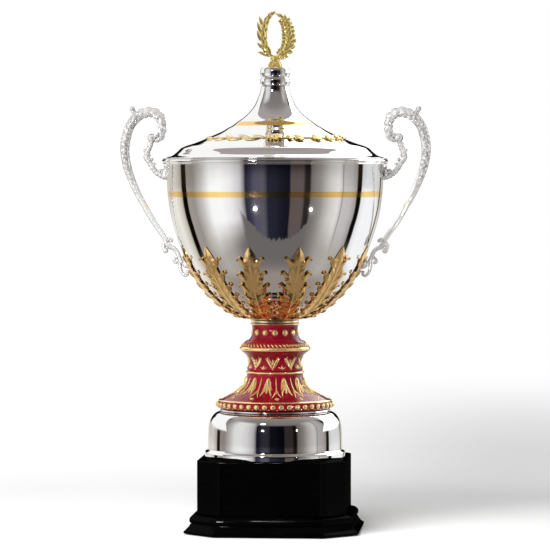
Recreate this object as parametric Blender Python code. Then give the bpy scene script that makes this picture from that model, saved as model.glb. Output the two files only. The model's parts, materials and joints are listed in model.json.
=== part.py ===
# Lidded two-handled cup trophy on a chamfered plinth.
# Frame: +Z up, origin at the middle of the underside, handles along X, front towards -Y.
# All driving dimensions are in millimetres and are scaled to metres when meshes are made.
import math

import bmesh
import bpy
from mathutils import Matrix, Vector

MM = 0.001
GAP = 0.3            # assembly gap left between touching pieces
SEG_LARGE = 36       # facets of the bowl, lid and rim
SEG_BASE = 32        # facets of the base dome
SEG_STEM = 24        # facets of the stem pieces
WALL = 1.5           # spun sheet thickness

# ---- plinth -------------------------------------------------------------
FELT_T = 1.2
PLINTH_HALF = 85.0
PLINTH_CHAMFER = 27.5
PLINTH_TOP = 85.0
PLINTH_WALL = 9.0
FOOT_TOP = 23.0
# foot moulding: (height, how far it stands out from the body's faces)
FOOT_LEVELS = [(1.5, 14.4), (3.7, 14.8), (4.6, 13.2), (7.6, 9.6), (10.4, 7.4), (11.8, 6.2),
               (13.4, 8.0), (16.0, 8.6), (19.2, 7.0), (21.6, 3.6), (23.0, 0.6)]
FOOT_OPENING = 68.0

# ---- central tie rod ----------------------------------------------------
ROD_R = 4.0
ROD_HOLE = 4.6
ROD_Z = (62.0, 260.5)

# ---- turned and spun outlines, (radius, height) --------------------------
DOME = [(81.2, 85.3), (81.2, 91.4), (77.7, 93.8), (77.5, 112.0), (76.7, 121.0), (74.6, 128.0), (71.0, 133.6),
        (67.4, 136.6), (64.0, 137.5)]
SEAT = [(ROD_HOLE, 137.8), (61.4, 137.8), (63.3, 139.4), (61.6, 141.0), (ROD_HOLE, 141.0)]
STEM_FOOT = [(64.2, 141.3), (66.6, 143.4), (67.3, 146.2), (65.6, 150.0), (60.2, 152.6), (51.0, 157.2), (42.6, 161.9),
             (37.0, 168.0), (33.6, 175.5), (32.6, 181.4)]
STEM_WAIST = [(32.8, 181.7), (33.5, 183.2), (32.5, 184.8), (32.0, 187.4), (30.2, 192.6), (30.4, 197.0), (32.8, 201.2),
              (36.6, 205.6)]
STEM_KNOP = [(37.2, 205.9), (40.0, 208.6), (40.4, 211.2), (38.6, 213.8), (36.6, 214.8), (36.0, 217.2), (32.8, 219.6)]
STEM_NECK = [(31.0, 219.9), (28.4, 222.6), (27.0, 227.0), (26.5, 232.0), (27.0, 237.3)]
LIP = [(ROD_HOLE, 237.6), (26.6, 237.6), (28.3, 238.8), (26.8, 240.0), (ROD_HOLE, 240.0)]
COLLAR = [(ROD_HOLE, 240.3), (26.4, 240.3), (27.6, 241.8), (26.4, 243.3), (ROD_HOLE, 243.3)]
BOWL = [(26.0, 245.5), (40.0, 248.2), (57.0, 257.0), (70.0, 267.6), (84.0, 282.6), (95.5, 298.0), (105.2, 316.0),
        (112.4, 335.0), (118.3, 356.0), (122.6, 378.0), (125.0, 402.0), (126.0, 424.0), (126.0, 429.6)]
RIM_OUT = 130.2
RIM_Z = (422.9, 429.6)
LID_EDGE_R = 125.9   # drops between the handles' scrolls, which stand in over the rim
LID = [(LID_EDGE_R, 430.0), (LID_EDGE_R, 431.4), (122.4, 432.4), (117.4, 433.9), (110.6, 440.4), (104.4, 444.1), (92.8, 447.4),
       (74.9, 454.4), (59.4, 461.4), (47.6, 468.4), (37.5, 475.6), (29.4, 483.0), (22.6, 492.4), (17.8, 502.6),
       (15.7, 510.6), (15.7, 512.5)]
LID_RING_R = (121.8, 123.3)
LID_RING_Z = (418.5, 429.7)
LID_COLLAR = [(3.6, 512.8), (15.2, 512.8), (16.9, 515.0), (17.1, 520.0), (15.7, 523.0), (17.0, 526.4),
              (16.7, 532.0), (15.0, 534.6), (10.6, 532.4), (3.6, 532.4)]

# ---- gilt leaf calyx under the bowl ---------------------------------------
LEAVES = 12
CALYX_TURN = -11.0     # azimuth of the first leaf, degrees from +X
LEAF_LIFT = (0.45, 1.35, 0.85)   # clearance off the bowl at the root, above it and at the tip
LEAF_EDGE = 1.4
LEAF_RIB = 2.4
# (share of the leaf's length, half width): lobes narrow to notches between them
LEAF_OUTLINE = [(0.0, 5.4), (0.12, 6.8), (0.27, 12.6), (0.32, 8.4), (0.42, 14.0), (0.47, 9.6), (0.58, 15.6),
                (0.63, 9.8), (0.76, 15.4), (0.82, 8.2), (1.0, 0.6)]
LEAF_START_R = 27.0
LEAF_TIP_Z = 331.0

# ---- handles: centre line in the XZ plane, (x, z, half width in plane, half width across) ----
ARM = [(138.6, 451.8, 2.6, 3.0), (133.8, 453.8, 3.5, 3.8), (131.2, 460.7, 4.2, 4.6), (131.2, 470.5, 4.5, 5.4),
       (134.2, 478.2, 4.8, 5.8), (141.2, 482.8, 4.8, 5.8), (149.4, 482.6, 4.6, 5.8), (158.0, 478.6, 4.9, 5.8),
       (165.0, 472.0, 5.1, 5.8), (170.7, 462.4, 5.0, 5.8), (174.0, 450.8, 4.9, 5.7), (174.8, 439.3, 4.9, 5.6),
       (173.6, 427.7, 4.7, 5.4), (170.5, 415.6, 4.5, 5.2), (166.1, 403.4, 4.1, 4.9), (159.2, 388.4, 3.5, 4.4),
       (150.5, 372.8, 3.0, 4.0), (140.7, 356.0, 2.8, 3.6), (132.0, 343.3, 2.7, 3.4), (125.1, 335.0, 2.8, 3.4),
       (120.4, 329.0, 3.0, 3.4), (115.2, 322.6, 3.2, 3.4), (111.4, 315.6, 3.0, 3.4), (107.8, 308.6, 2.6, 3.4)]
BRANCH = [(142.6, 453.2, 2.6, 3.2), (145.4, 446.0, 3.0, 3.4), (149.0, 439.3, 3.2, 3.4), (148.6, 432.0, 3.2, 3.4),
          (144.7, 426.2, 3.1, 3.4), (141.0, 419.6, 3.1, 3.4), (136.0, 413.6, 3.2, 3.4), (129.6, 411.4, 3.6, 3.6)]
TAIL = [(108.0, 307.4, 2.6, 3.0), (103.4, 301.6, 2.2, 2.8), (100.4, 297.2, 1.7, 2.4), (102.6, 293.6, 1.5, 2.2),
        (105.6, 296.2, 1.5, 2.2)]
HEEL = [(121.6, 331.6, 2.6, 3.0), (126.0, 327.2, 2.2, 2.8), (129.2, 322.0, 2.4, 2.8), (126.4, 319.4, 1.8, 2.4)]
SPUR = [(161.0, 477.6, 2.6, 2.8), (164.0, 483.2, 1.8, 2.2), (167.4, 487.4, 1.0, 1.4)]
CURL_BALL = (141.6, 453.6, 4.6, 5.2)
PAD_UPPER_Z = 411.4
PAD_LOWER_Z = 308.4
SCREW_R = 2.0
SCREW_HOLE = 2.5

# ---- lid spray ------------------------------------------------------------
SPRAY_TURN = -86.0     # azimuth of the front spray's knot
SPRAY_R = 81.0         # radius of its stem on the lid
SPRAY_SWEEP = 76.0     # degrees to each side
SPRAY_LEAVES = 6       # leaf pairs on each side

# ---- finial wreath ----------------------------------------------------------
WREATH_Z = 572.6
WREATH_A = 15.6        # half width of the branch line
WREATH_B = 21.6        # half height of the branch line
STUD_R = 3.0


# =========================== helpers =========================================
for old in list(bpy.data.objects):
    bpy.data.objects.remove(old, do_unlink=True)


def material(name, rgb, roughness, metallic):
    m = bpy.data.materials.new(name)
    m.use_nodes = True
    p = m.node_tree.nodes["Principled BSDF"]
    p.inputs["Base Color"].default_value = (*rgb, 1.0)
    p.inputs["Roughness"].default_value = roughness
    p.inputs["Metallic"].default_value = metallic
    return m


SILVER = material("silver_plate", (0.86, 0.86, 0.85), 0.06, 1.0)
GILT = material("gilt", (0.83, 0.62, 0.24), 0.22, 1.0)
ENAMEL = material("red_enamel", (0.36, 0.015, 0.03), 0.18, 0.0)
BLACK = material("black_lacquer", (0.006, 0.006, 0.007), 0.08, 0.0)
STEEL = material("steel", (0.55, 0.55, 0.56), 0.35, 1.0)
FELT = material("felt", (0.02, 0.06, 0.03), 0.95, 0.0)


def put(name, bm, mat, matrix=None, helper=False):
    bmesh.ops.remove_doubles(bm, verts=bm.verts, dist=1e-6)
    bmesh.ops.recalc_face_normals(bm, faces=bm.faces)
    mesh = bpy.data.meshes.new(name)
    bm.to_mesh(mesh)
    bm.free()
    mesh.shade_smooth()
    mesh.set_sharp_from_angle(angle=math.radians(35))
    return place(name, mesh, mat, matrix, helper)


def place(name, mesh, mat, matrix=None, helper=False):
    if not mesh.materials:
        mesh.materials.append(mat)
    obj = bpy.data.objects.new(name, mesh)
    bpy.context.scene.collection.objects.link(obj)
    if matrix is not None:
        obj.matrix_world = matrix
    if helper:
        obj.hide_render = True
        obj.display_type = "WIRE"
    return obj


def spun(bm, outline, segments, phase=0.0):
    """Spins a closed outline of (radius, height) round Z."""
    first = [bm.verts.new((r * MM, 0, z * MM)) for r, z in outline]
    edges = []
    for i, v in enumerate(first):
        j = (i + 1) % len(first)
        if outline[i][0] or outline[j][0]:
            edges.append(bm.edges.new((v, first[j])))
    if phase:
        bmesh.ops.rotate(bm, verts=first, cent=(0, 0, 0), matrix=Matrix.Rotation(phase, 3, "Z"))
    bmesh.ops.spin(bm, geom=first + edges, cent=(0, 0, 0), axis=(0, 0, 1), angle=2 * math.pi, steps=segments,
                   use_merge=True)


def turned(name, outline, mat, segments, matrix=None, helper=False, phase=0.0):
    bm = bmesh.new()
    spun(bm, outline, segments, phase)
    return put(name, bm, mat, matrix, helper)


def inward(outline, depth):
    """The same line moved sideways by depth, to the left of its direction."""
    moved = []
    for i, (r, z) in enumerate(outline):
        a = outline[max(i - 1, 0)]
        b = outline[min(i + 1, len(outline) - 1)]
        d = Vector((b[0] - a[0], b[1] - a[1])).normalized()
        moved.append((r - d.y * depth, z + d.x * depth))
    return moved


def octagon(half, chamfer):
    h, q = half, half - chamfer
    return [(q, -h), (h, -q), (h, q), (q, h), (-q, h), (-h, q), (-h, -q), (-q, -h)]


def moulded(bm, levels, closed=False):
    """Walls through eight-sided loops at (height, half width, chamfer) levels, bridged one to the next."""
    loops = []
    for z, half, chamfer in levels:
        loops.append([bm.verts.new((x * MM, y * MM, z * MM)) for x, y in octagon(half, chamfer)])
    pairs = list(zip(loops, loops[1:])) + ([(loops[-1], loops[0])] if closed else [])
    for a, b in pairs:
        for i in range(8):
            j = (i + 1) % 8
            bm.faces.new((a[i], a[j], b[j], b[i]))
    if not closed:
        bm.faces.new(list(reversed(loops[0])))
        bm.faces.new(loops[-1])


def cylinder(bm, radius, z0, z1, sides, radius_top=None):
    bmesh.ops.create_cone(bm, cap_ends=True, segments=sides, radius1=radius * MM,
                          radius2=(radius if radius_top is None else radius_top) * MM, depth=(z1 - z0) * MM,
                          matrix=Matrix.Translation((0, 0, (z0 + z1) / 2 * MM)))


def cut(obj, cutter, operation="DIFFERENCE"):
    m = obj.modifiers.new("bool_" + cutter.name, "BOOLEAN")
    m.operation = operation
    m.solver = "EXACT"
    m.object = cutter
    return m


def baked(obj):
    """The object's mesh with its modifiers applied."""
    graph = bpy.context.evaluated_depsgraph_get()
    return bpy.data.meshes.new_from_object(obj.evaluated_get(graph))


def smooth_line(points, per_span):
    """Catmull-Rom points through the given rows of numbers."""
    rows = [Vector(p) for p in points]
    out = []
    for i in range(len(rows) - 1):
        p0, p1, p2, p3 = rows[max(i - 1, 0)], rows[i], rows[i + 1], rows[min(i + 2, len(rows) - 1)]
        for k in range(per_span):
            t = k / per_span
            out.append(0.5 * (2 * p1 + (p2 - p0) * t + (2 * p0 - 5 * p1 + 4 * p2 - p3) * t * t
                              + (3 * p1 - p0 - 3 * p2 + p3) * t ** 3))
    out.append(rows[-1])
    return out


def sweep(bm, stations, sides=8):
    """An oval rod along stations (x, z, half width in plane, half width across), in the XZ plane, with closed ends."""
    rings = []
    for i, (x, z, a, b) in enumerate(stations):
        p, n = stations[max(i - 1, 0)], stations[min(i + 1, len(stations) - 1)]
        d = Vector((n[0] - p[0], n[1] - p[1])).normalized()
        side = Vector((-d.y, d.x))
        ring = []
        for k in range(sides):
            t = 2 * math.pi * k / sides
            ring.append(bm.verts.new(((x + side.x * a * math.cos(t)) * MM, b * math.sin(t) * MM,
                                      (z + side.y * a * math.cos(t)) * MM)))
        rings.append(ring)
    for a, b in zip(rings, rings[1:]):
        for k in range(sides):
            j = (k + 1) % sides
            bm.faces.new((a[k], a[j], b[j], b[k]))
    bm.faces.new(rings[0])
    bm.faces.new(list(reversed(rings[-1])))


class Outline:
    """Reads a (radius, height) line by distance along it."""

    def __init__(self, points):
        self.p = [Vector(q) for q in points]
        self.s = [0.0]
        for a, b in zip(self.p, self.p[1:]):
            self.s.append(self.s[-1] + (b - a).length)

    def at(self, s):
        """(point, direction) at distance s."""
        s = max(0.0, min(self.s[-1], s))
        for i in range(len(self.p) - 1):
            if s <= self.s[i + 1] or i == len(self.p) - 2:
                a, b = self.p[i], self.p[i + 1]
                return a + (b - a) * ((s - self.s[i]) / (b - a).length), (b - a).normalized()

    def where(self, index, value):
        """Distance at which coordinate index (0 radius, 1 height) first passes value."""
        for i in range(len(self.p) - 1):
            a, b = self.p[i][index], self.p[i + 1][index]
            if (a - value) * (b - value) <= 0 and a != b:
                return self.s[i] + (value - a) / (b - a) * (self.s[i + 1] - self.s[i])
        raise ValueError(value)

    def surface(self, azimuth, s, lift, side=1.0):
        """Point at azimuth and distance s, standing lift off the line on its right side."""
        p, d = self.at(s)
        n = Vector((d.y, -d.x)) * side
        r, z = p.x + n.x * lift, p.y + n.y * lift
        return Vector((r * math.cos(azimuth), r * math.sin(azimuth), z))


bowl_line = Outline(BOWL)
lid_line = Outline(LID)

# =========================== plinth ==========================================
bm = bmesh.new()
moulded(bm, [(0.0, 93.6, 32.6), (FELT_T, 93.6, 32.6)])
put("base_felt", bm, FELT)

SCREW_SPOTS = [(80.4, 0), (0, 80.4), (-80.4, 0), (0, -80.4)]

bm = bmesh.new()
outer = [(z, PLINTH_HALF + d, PLINTH_CHAMFER + 0.586 * d) for z, d in FOOT_LEVELS]
inner = [(FOOT_TOP, FOOT_OPENING, 22.0), (FOOT_LEVELS[0][0], FOOT_OPENING, 22.0)]
moulded(bm, outer + inner, closed=True)
foot = put("plinth_foot", bm, BLACK)

bm = bmesh.new()
h, c, w = PLINTH_HALF, PLINTH_CHAMFER, PLINTH_WALL
moulded(bm, [(PLINTH_TOP - w, h - w, c - 0.586 * w), (FOOT_TOP + GAP, h - w, c - 0.586 * w), (FOOT_TOP + GAP, h, c),
             (PLINTH_TOP - 1.0, h, c), (PLINTH_TOP, h - 1.0, c - 0.586)])
body = put("plinth_body", bm, BLACK)

bm = bmesh.new()
cylinder(bm, ROD_HOLE, PLINTH_TOP - w - 5, PLINTH_TOP + 5, 24)
cut(body, put("cut_rod_hole", bm, STEEL, helper=True))

bm = bmesh.new()
for x, y in SCREW_SPOTS:
    made = bmesh.new()
    cylinder(made, 2.5, 3.0, 44.0, 12)
    bmesh.ops.translate(made, verts=made.verts, vec=(x * MM, y * MM, 0))
    mesh = bpy.data.meshes.new("cut_pilot")
    made.to_mesh(mesh)
    made.free()
    bm.from_mesh(mesh)
pilot = put("cut_pilot_holes", bm, STEEL, helper=True)
cut(foot, pilot)
cut(body, pilot)

bm = bmesh.new()
for x, y in SCREW_SPOTS:
    made = bmesh.new()
    cylinder(made, 5.2, -2.0, 7.0, 12)
    bmesh.ops.translate(made, verts=made.verts, vec=(x * MM, y * MM, 0))
    mesh = bpy.data.meshes.new("cut_head")
    made.to_mesh(mesh)
    made.free()
    bm.from_mesh(mesh)
cut(foot, put("cut_screw_heads", bm, STEEL, helper=True))

bm = bmesh.new()
spun(bm, [(0, 3.0), (4.4, 3.0), (4.4, 4.4), (2.0, 6.6), (2.0, 38.0), (0, 41.5)], 12)
screw = put("foot_screw_1", bm, STEEL, Matrix.Translation((SCREW_SPOTS[0][0] * MM, 0, 0)))
for i, (x, y) in enumerate(SCREW_SPOTS[1:], 2):
    place(f"foot_screw_{i}", screw.data, STEEL, Matrix.Translation((x * MM, y * MM, 0)))


def hex_nut(name, across, bore, z0, z1):
    bm = bmesh.new()
    r = across / 2 / math.cos(math.radians(30))
    spun(bm, [(bore, z0), (r, z0), (r, z1), (bore, z1)], 6)
    obj = put(name, bm, STEEL)
    return obj


turned("plinth_washer", [(4.5, 73.9), (18.0, 73.9), (18.0, 75.7), (4.5, 75.7)], STEEL, 16)
hex_nut("plinth_nut", 13.0, 5.0, 67.0, 73.6)

# =========================== tie rod =========================================
turned("tie_rod", [(0, ROD_Z[0]), (3.2, ROD_Z[0]), (ROD_R, ROD_Z[0] + 0.8), (ROD_R, ROD_Z[1] - 0.8),
                   (3.2, ROD_Z[1]), (0, ROD_Z[1])], STEEL, 16)

# =========================== base dome =======================================
inside = inward(DOME, WALL)
inside[0] = (inside[0][0], DOME[0][1])
turned("base_dome", DOME + [(ROD_HOLE, DOME[-1][1]), (ROD_HOLE, DOME[-1][1] - WALL)]
       + [inside[i] for i in (7, 5, 3)] + [(inside[3][0], DOME[0][1])], SILVER, SEG_BASE)
turned("dome_backing_plate", [(ROD_HOLE, 133.2), (34.0, 133.2), (34.0, 135.6), (ROD_HOLE, 135.6)], STEEL, 20)
turned("stem_seat", SEAT, SILVER, SEG_BASE)

# =========================== enamelled stem ===================================
turned("stem_foot", STEM_FOOT + [(ROD_HOLE, 181.4), (ROD_HOLE, 176.4), (27.6, 176.4), (36.0, 160.8),
                                 (60.0, 147.4), (60.6, 141.3)], ENAMEL, SEG_STEM)
turned("stem_waist", STEM_WAIST + [(20.0, 205.6), (20.0, 181.7)], ENAMEL, SEG_STEM)
turned("stem_knop", STEM_KNOP + [(20.0, 219.6), (20.0, 205.9)], ENAMEL, SEG_STEM)
turned("stem_neck", STEM_NECK + [(18.0, 237.3), (18.0, 219.9)], ENAMEL, SEG_STEM)
turned("collar_lip", LIP, GILT, SEG_STEM)
turned("neck_collar", COLLAR, SILVER, SEG_STEM)

# =========================== bowl ============================================
inside = inward(BOWL, WALL)
inside[0] = (inside[0][0], BOWL[0][1] + WALL)
inside[-1] = (BOWL[-1][0] - WALL, BOWL[-1][1])
inside = [inside[i] for i in (0, 2, 4, 5, 6, 7, 8, 10, 12)]
bowl = turned("bowl", [(ROD_HOLE, BOWL[0][1])] + BOWL + inside[::-1] + [(ROD_HOLE, BOWL[0][1] + WALL)], SILVER,
              SEG_LARGE)
turned("bowl_rim", [(BOWL[-1][0] + 0.4, RIM_Z[0]), (RIM_OUT - 0.6, RIM_Z[0]), (RIM_OUT, RIM_Z[0] + 0.8),
                    (RIM_OUT, RIM_Z[1] - 0.8), (RIM_OUT - 0.6, RIM_Z[1]), (BOWL[-1][0] + 0.4, RIM_Z[1])], SILVER,
       SEG_LARGE)
turned("bowl_washer", [(4.5, 247.4), (16.0, 247.4), (16.0, 249.2), (4.5, 249.2)], STEEL, 16)
hex_nut("bowl_nut", 13.0, 5.0, 249.5, 256.1)

# =========================== leaf calyx =======================================
s_start = bowl_line.where(0, LEAF_START_R)
s_end = bowl_line.where(1, LEAF_TIP_Z)
bm = bmesh.new()
for n in range(LEAVES):
    azimuth = math.radians(CALYX_TURN + 360.0 * n / LEAVES)
    rows = []
    for share, half in LEAF_OUTLINE:
        s = s_start + (s_end - s_start) * share
        radius = bowl_line.at(s)[0].x
        turn = half / radius
        rib = LEAF_EDGE + (LEAF_RIB - LEAF_EDGE) * (1 - share) ** 0.5 if share else LEAF_EDGE
        root, mid, tip = LEAF_LIFT
        lift = root + (mid - root) * min(1.0, share / 0.1) + (tip - mid) * max(0.0, share - 0.1) / 0.9
        rows.append([bm.verts.new(bowl_line.surface(azimuth + a, s, h) * MM) for a, h in
                     ((-turn, lift), (0.0, lift), (turn, lift), (turn, lift + LEAF_EDGE),
                      (0.0, lift + rib), (-turn, lift + LEAF_EDGE))])
    for a, b in zip(rows, rows[1:]):
        for k in range(6):
            j = (k + 1) % 6
            bm.faces.new((a[k], a[j], b[j], b[k]))
    bm.faces.new(list(reversed(rows[0])))
    bm.faces.new(rows[-1])
leaves = put("join_leaves", bm, GILT, helper=True)
calyx = turned("leaf_calyx", [(ROD_HOLE, 243.9), (30.6, 243.9), (31.0, 244.6), (30.4, 245.2), (ROD_HOLE, 245.2)], GILT,
               SEG_LARGE)
cut(calyx, leaves, "UNION")

# =========================== handles ==========================================


def pad_frame(z):
    """Matrix at the bowl's outside at height z, its +Z pointing straight out of the wall."""
    p, d = bowl_line.at(bowl_line.where(1, z))
    out = Vector((d.y, 0, -d.x))
    along = Vector((d.x, 0, d.y))
    m = Matrix((along, out.cross(along), out)).transposed().to_4x4()
    m.translation = Vector((p.x, 0, p.y)) * MM
    return m


upper, lower = pad_frame(PAD_UPPER_Z), pad_frame(PAD_LOWER_Z)


def boss(name, levels, matrix):
    """A mounting pad: oval loops at (distance out, half height, half width)."""
    bm = bmesh.new()
    rings = []
    for z, a, b in levels:
        rings.append([bm.verts.new((a * math.cos(t) * MM, b * math.sin(t) * MM, z * MM))
                      for t in (2 * math.pi * k / 12 for k in range(12))])
    for a, b in zip(rings, rings[1:]):
        for k in range(12):
            j = (k + 1) % 12
            bm.faces.new((a[k], a[j], b[j], b[k]))
    bm.faces.new(rings[0])
    bm.faces.new(list(reversed(rings[-1])))
    return put(name, bm, SILVER, matrix, helper=True)


bm = bmesh.new()
sweep(bm, ARM)
handle = put("join_arm", bm, SILVER, helper=True)
for name, stations in (("branch", BRANCH), ("tail", TAIL), ("heel", HEEL), ("spur", SPUR)):
    bm = bmesh.new()
    sweep(bm, smooth_line(stations, 2) if name in ("tail", "heel") else stations)
    cut(handle, put("join_" + name, bm, SILVER, helper=True), "UNION")
bm = bmesh.new()
bmesh.ops.create_icosphere(bm, subdivisions=2, radius=1.0)
bmesh.ops.scale(bm, verts=bm.verts, vec=(CURL_BALL[2] * MM, CURL_BALL[3] * MM, CURL_BALL[2] * MM))
cut(handle, put("join_curl", bm, SILVER, Matrix.Translation((CURL_BALL[0] * MM, 0.00011, CURL_BALL[1] * MM)),
                helper=True), "UNION")
cut(handle, boss("join_pad_upper", [(-3.0, 9.0, 5.2), (1.6, 8.6, 5.0), (4.2, 5.6, 4.6), (9.0, 4.4, 4.2)], upper), "UNION")
cut(handle, boss("join_pad_lower", [(-3.0, 7.0, 4.6), (1.6, 6.4, 4.4), (4.0, 4.8, 4.1), (8.0, 3.9, 3.8)], lower), "UNION")
envelope = inward(BOWL, -0.35)
envelope[0] = (envelope[0][0], BOWL[0][1] - 0.35)
cut(handle, turned("cut_bowl_side", [(0, envelope[0][1])] + envelope + [(0, envelope[-1][1])], SILVER, SEG_LARGE,
                   helper=True))
for name, frame in (("upper", upper), ("lower", lower)):
    bm = bmesh.new()
    cylinder(bm, SCREW_HOLE, -6.0, 7.0, 12)
    cut(handle, put("cut_thread_" + name, bm, STEEL, frame, helper=True))
handle_mesh = baked(handle)
place("handle_right", handle_mesh, SILVER)
place("handle_left", handle_mesh, SILVER, Matrix.Rotation(math.pi, 4, "Z"))

turn = Matrix.Rotation(math.pi, 4, "Z")
bm = bmesh.new()
for side in (Matrix.Identity(4), turn):
    for frame in (upper, lower):
        made = bmesh.new()
        cylinder(made, SCREW_HOLE, -5.0, 4.0, 12)
        bmesh.ops.transform(made, matrix=side @ frame, verts=made.verts)
        mesh = bpy.data.meshes.new("cut_wall")
        made.to_mesh(mesh)
        made.free()
        bm.from_mesh(mesh)
cut(bowl, put("cut_bowl_holes", bm, STEEL, helper=True))

bm = bmesh.new()
spun(bm, [(0, -6.2), (3.2, -6.2), (3.9, -5.2), (3.9, -3.5), (SCREW_R, -3.5), (SCREW_R, 6.0), (0, 6.4)], 12)
handle_screw = put("handle_screw_right_upper", bm, STEEL, upper)
washer = turned("handle_washer_right_upper", [(2.5, -3.2), (5.0, -3.2), (5.0, -2.2), (2.5, -2.2)], STEEL, 12, upper)
for name, m in (("right_lower", lower), ("left_upper", turn @ upper), ("left_lower", turn @ lower)):
    place("handle_screw_" + name, handle_screw.data, STEEL, m)
    place("handle_washer_" + name, washer.data, STEEL, m)

# =========================== lid ==============================================
inside = inward(LID, WALL)
inside = [(LID[2][0] - 1.0, LID[0][1])] + inside[3:-2:2]
lid_outline = LID + [(3.6, LID[-1][1]), (3.6, LID[-1][1] - WALL), (LID[-1][0] - WALL, LID[-1][1] - WALL)] + inside[::-1]
turned("lid_shell", lid_outline, SILVER, SEG_LARGE)
turned("lid_guide_ring", [(LID_RING_R[0], LID_RING_Z[0]), (LID_RING_R[1] - 0.4, LID_RING_Z[0]),
                          (LID_RING_R[1], LID_RING_Z[0] + 0.8), (LID_RING_R[1], LID_RING_Z[1]),
                          (LID_RING_R[0], LID_RING_Z[1])], SILVER, SEG_LARGE)
turned("lid_collar", LID_COLLAR, SILVER, SEG_STEM)
turned("finial_washer", [(3.5, 508.9), (9.0, 508.9), (9.0, 510.6), (3.5, 510.6)], STEEL, 20)
hex_nut("finial_nut", 10.0, 4.0, 503.6, 508.6)
turned("finial_stud", [(0, 499.0), (2.4, 499.0), (STUD_R, 499.6), (STUD_R, 541.4), (2.4, 542.0), (0, 542.0)], STEEL, 12)

# spray: a stem strip round the lid, leaves in pairs and a knot
s_mid = lid_line.where(0, SPRAY_R)


def lid_patch(bm, azimuth, outline, low, high):
    """A thin plate following the lid: outline rows of (sideways mm, downhill mm) pairs, left and right edges."""
    rows = []
    for (la, ls), (ra, rs) in outline:
        row = []
        for a, s, h in ((la, ls, low), (ra, rs, low), (ra, rs, high), (la, ls, high)):
            radius = lid_line.at(s_mid - s)[0].x
            row.append(bm.verts.new(lid_line.surface(azimuth + a / radius, s_mid - s, h) * MM))
        rows.append(row)
    for a, b in zip(rows, rows[1:]):
        for k in range(4):
            j = (k + 1) % 4
            bm.faces.new((a[k], a[j], b[j], b[k]))
    bm.faces.new(list(reversed(rows[0])))
    bm.faces.new(rows[-1])


SPRAY_LOW, SPRAY_HIGH = 0.4, 1.4
for name, middle in (("front", math.radians(SPRAY_TURN)), ("back", math.radians(SPRAY_TURN + 180))):
    bm = bmesh.new()
    steps = 16
    sweep_rad = math.radians(SPRAY_SWEEP)
    rows = []
    for i in range(steps + 1):
        azimuth = middle - sweep_rad + 2 * sweep_rad * i / steps
        row = []
        for s, h in ((-1.5, SPRAY_LOW), (1.5, SPRAY_LOW), (1.5, SPRAY_HIGH), (-1.5, SPRAY_HIGH)):
            row.append(bm.verts.new(lid_line.surface(azimuth, s_mid - s, h) * MM))
        rows.append(row)
    for a, b in zip(rows, rows[1:]):
        for k in range(4):
            j = (k + 1) % 4
            bm.faces.new((a[k], a[j], b[j], b[k]))
    bm.faces.new(list(reversed(rows[0])))
    bm.faces.new(rows[-1])
    stem = put("lid_spray_" + name, bm, GILT)
    bm = bmesh.new()
    for side in (-1, 1):
        for n in range(SPRAY_LEAVES):
            at = middle + side * sweep_rad * (n + 1.1) / (SPRAY_LEAVES + 0.4)
            for up in (-1, 1):
                # a pointed leaf leaning away from the knot
                leaf = [((0.0, up * 0.6), (side * 3.2, up * 0.6)), ((side * 2.0, up * 5.0), (side * 7.4, up * 4.2)),
                        ((side * 5.6, up * 9.6), (side * 10.6, up * 8.4)),
                        ((side * 10.8, up * 13.2), (side * 11.8, up * 12.8))]
                lid_patch(bm, at, leaf, SPRAY_LOW + 0.1, SPRAY_HIGH + 0.3)
    lid_patch(bm, middle, [((-7.0, -3.0), (-7.0, 3.0)), ((-3.4, -6.0), (-3.4, 6.0)), ((3.4, -6.0), (3.4, 6.0)),
                           ((7.0, -3.0), (7.0, 3.0))], SPRAY_LOW + 0.15, SPRAY_HIGH + 0.9)
    cut(stem, put("join_spray_" + name, bm, GILT, helper=True), "UNION")

# =========================== finial wreath ======================================
stations = []
RING = 36
bm = bmesh.new()
rings = []
for i in range(RING):
    t = 2 * math.pi * i / RING
    # leaf tips make the branch swell and step along each side
    step = (i if i <= RING // 2 else RING - i) % 3
    thick = (4.9, 6.1, 7.2)[step]
    thick *= 0.62 + 0.38 * min(1.0, 1.35 - abs(math.cos(t)) ** 3)
    cx, cz = WREATH_A * math.sin(t), WREATH_Z - WREATH_B * math.cos(t)
    n = Vector((math.sin(t) * WREATH_B, -math.cos(t) * WREATH_A)).normalized()
    ring = []
    for k in range(8):
        u = 2 * math.pi * k / 8
        ring.append(bm.verts.new(((cx + n.x * thick * math.cos(u)) * MM, 0.72 * thick * math.sin(u) * MM,
                                  (cz + n.y * thick * math.cos(u)) * MM)))
    rings.append(ring)
for i in range(RING):
    a, b = rings[i], rings[(i + 1) % RING]
    for k in range(8):
        j = (k + 1) % 8
        bm.faces.new((a[k], a[j], b[j], b[k]))
wreath = put("finial_wreath", bm, GILT)
cut(wreath, turned("join_wreath_stem", [(0, 532.6), (8.4, 532.6), (9.6, 534.8), (7.0, 538.4), (6.2, 541.6), (8.0, 545.0),
                                        (7.4, 548.6), (4.0, 551.0), (0, 551.4)], GILT, 16, helper=True,
                   phase=math.radians(4)), "UNION")
bm = bmesh.new()
cylinder(bm, 3.5, 528.0, 543.0, 12)
cut(wreath, put("cut_wreath_thread", bm, STEEL, helper=True))
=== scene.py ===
import json
import math
import random

import bmesh
import bpy
import numpy as np
from mathutils import Matrix, Vector

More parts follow.
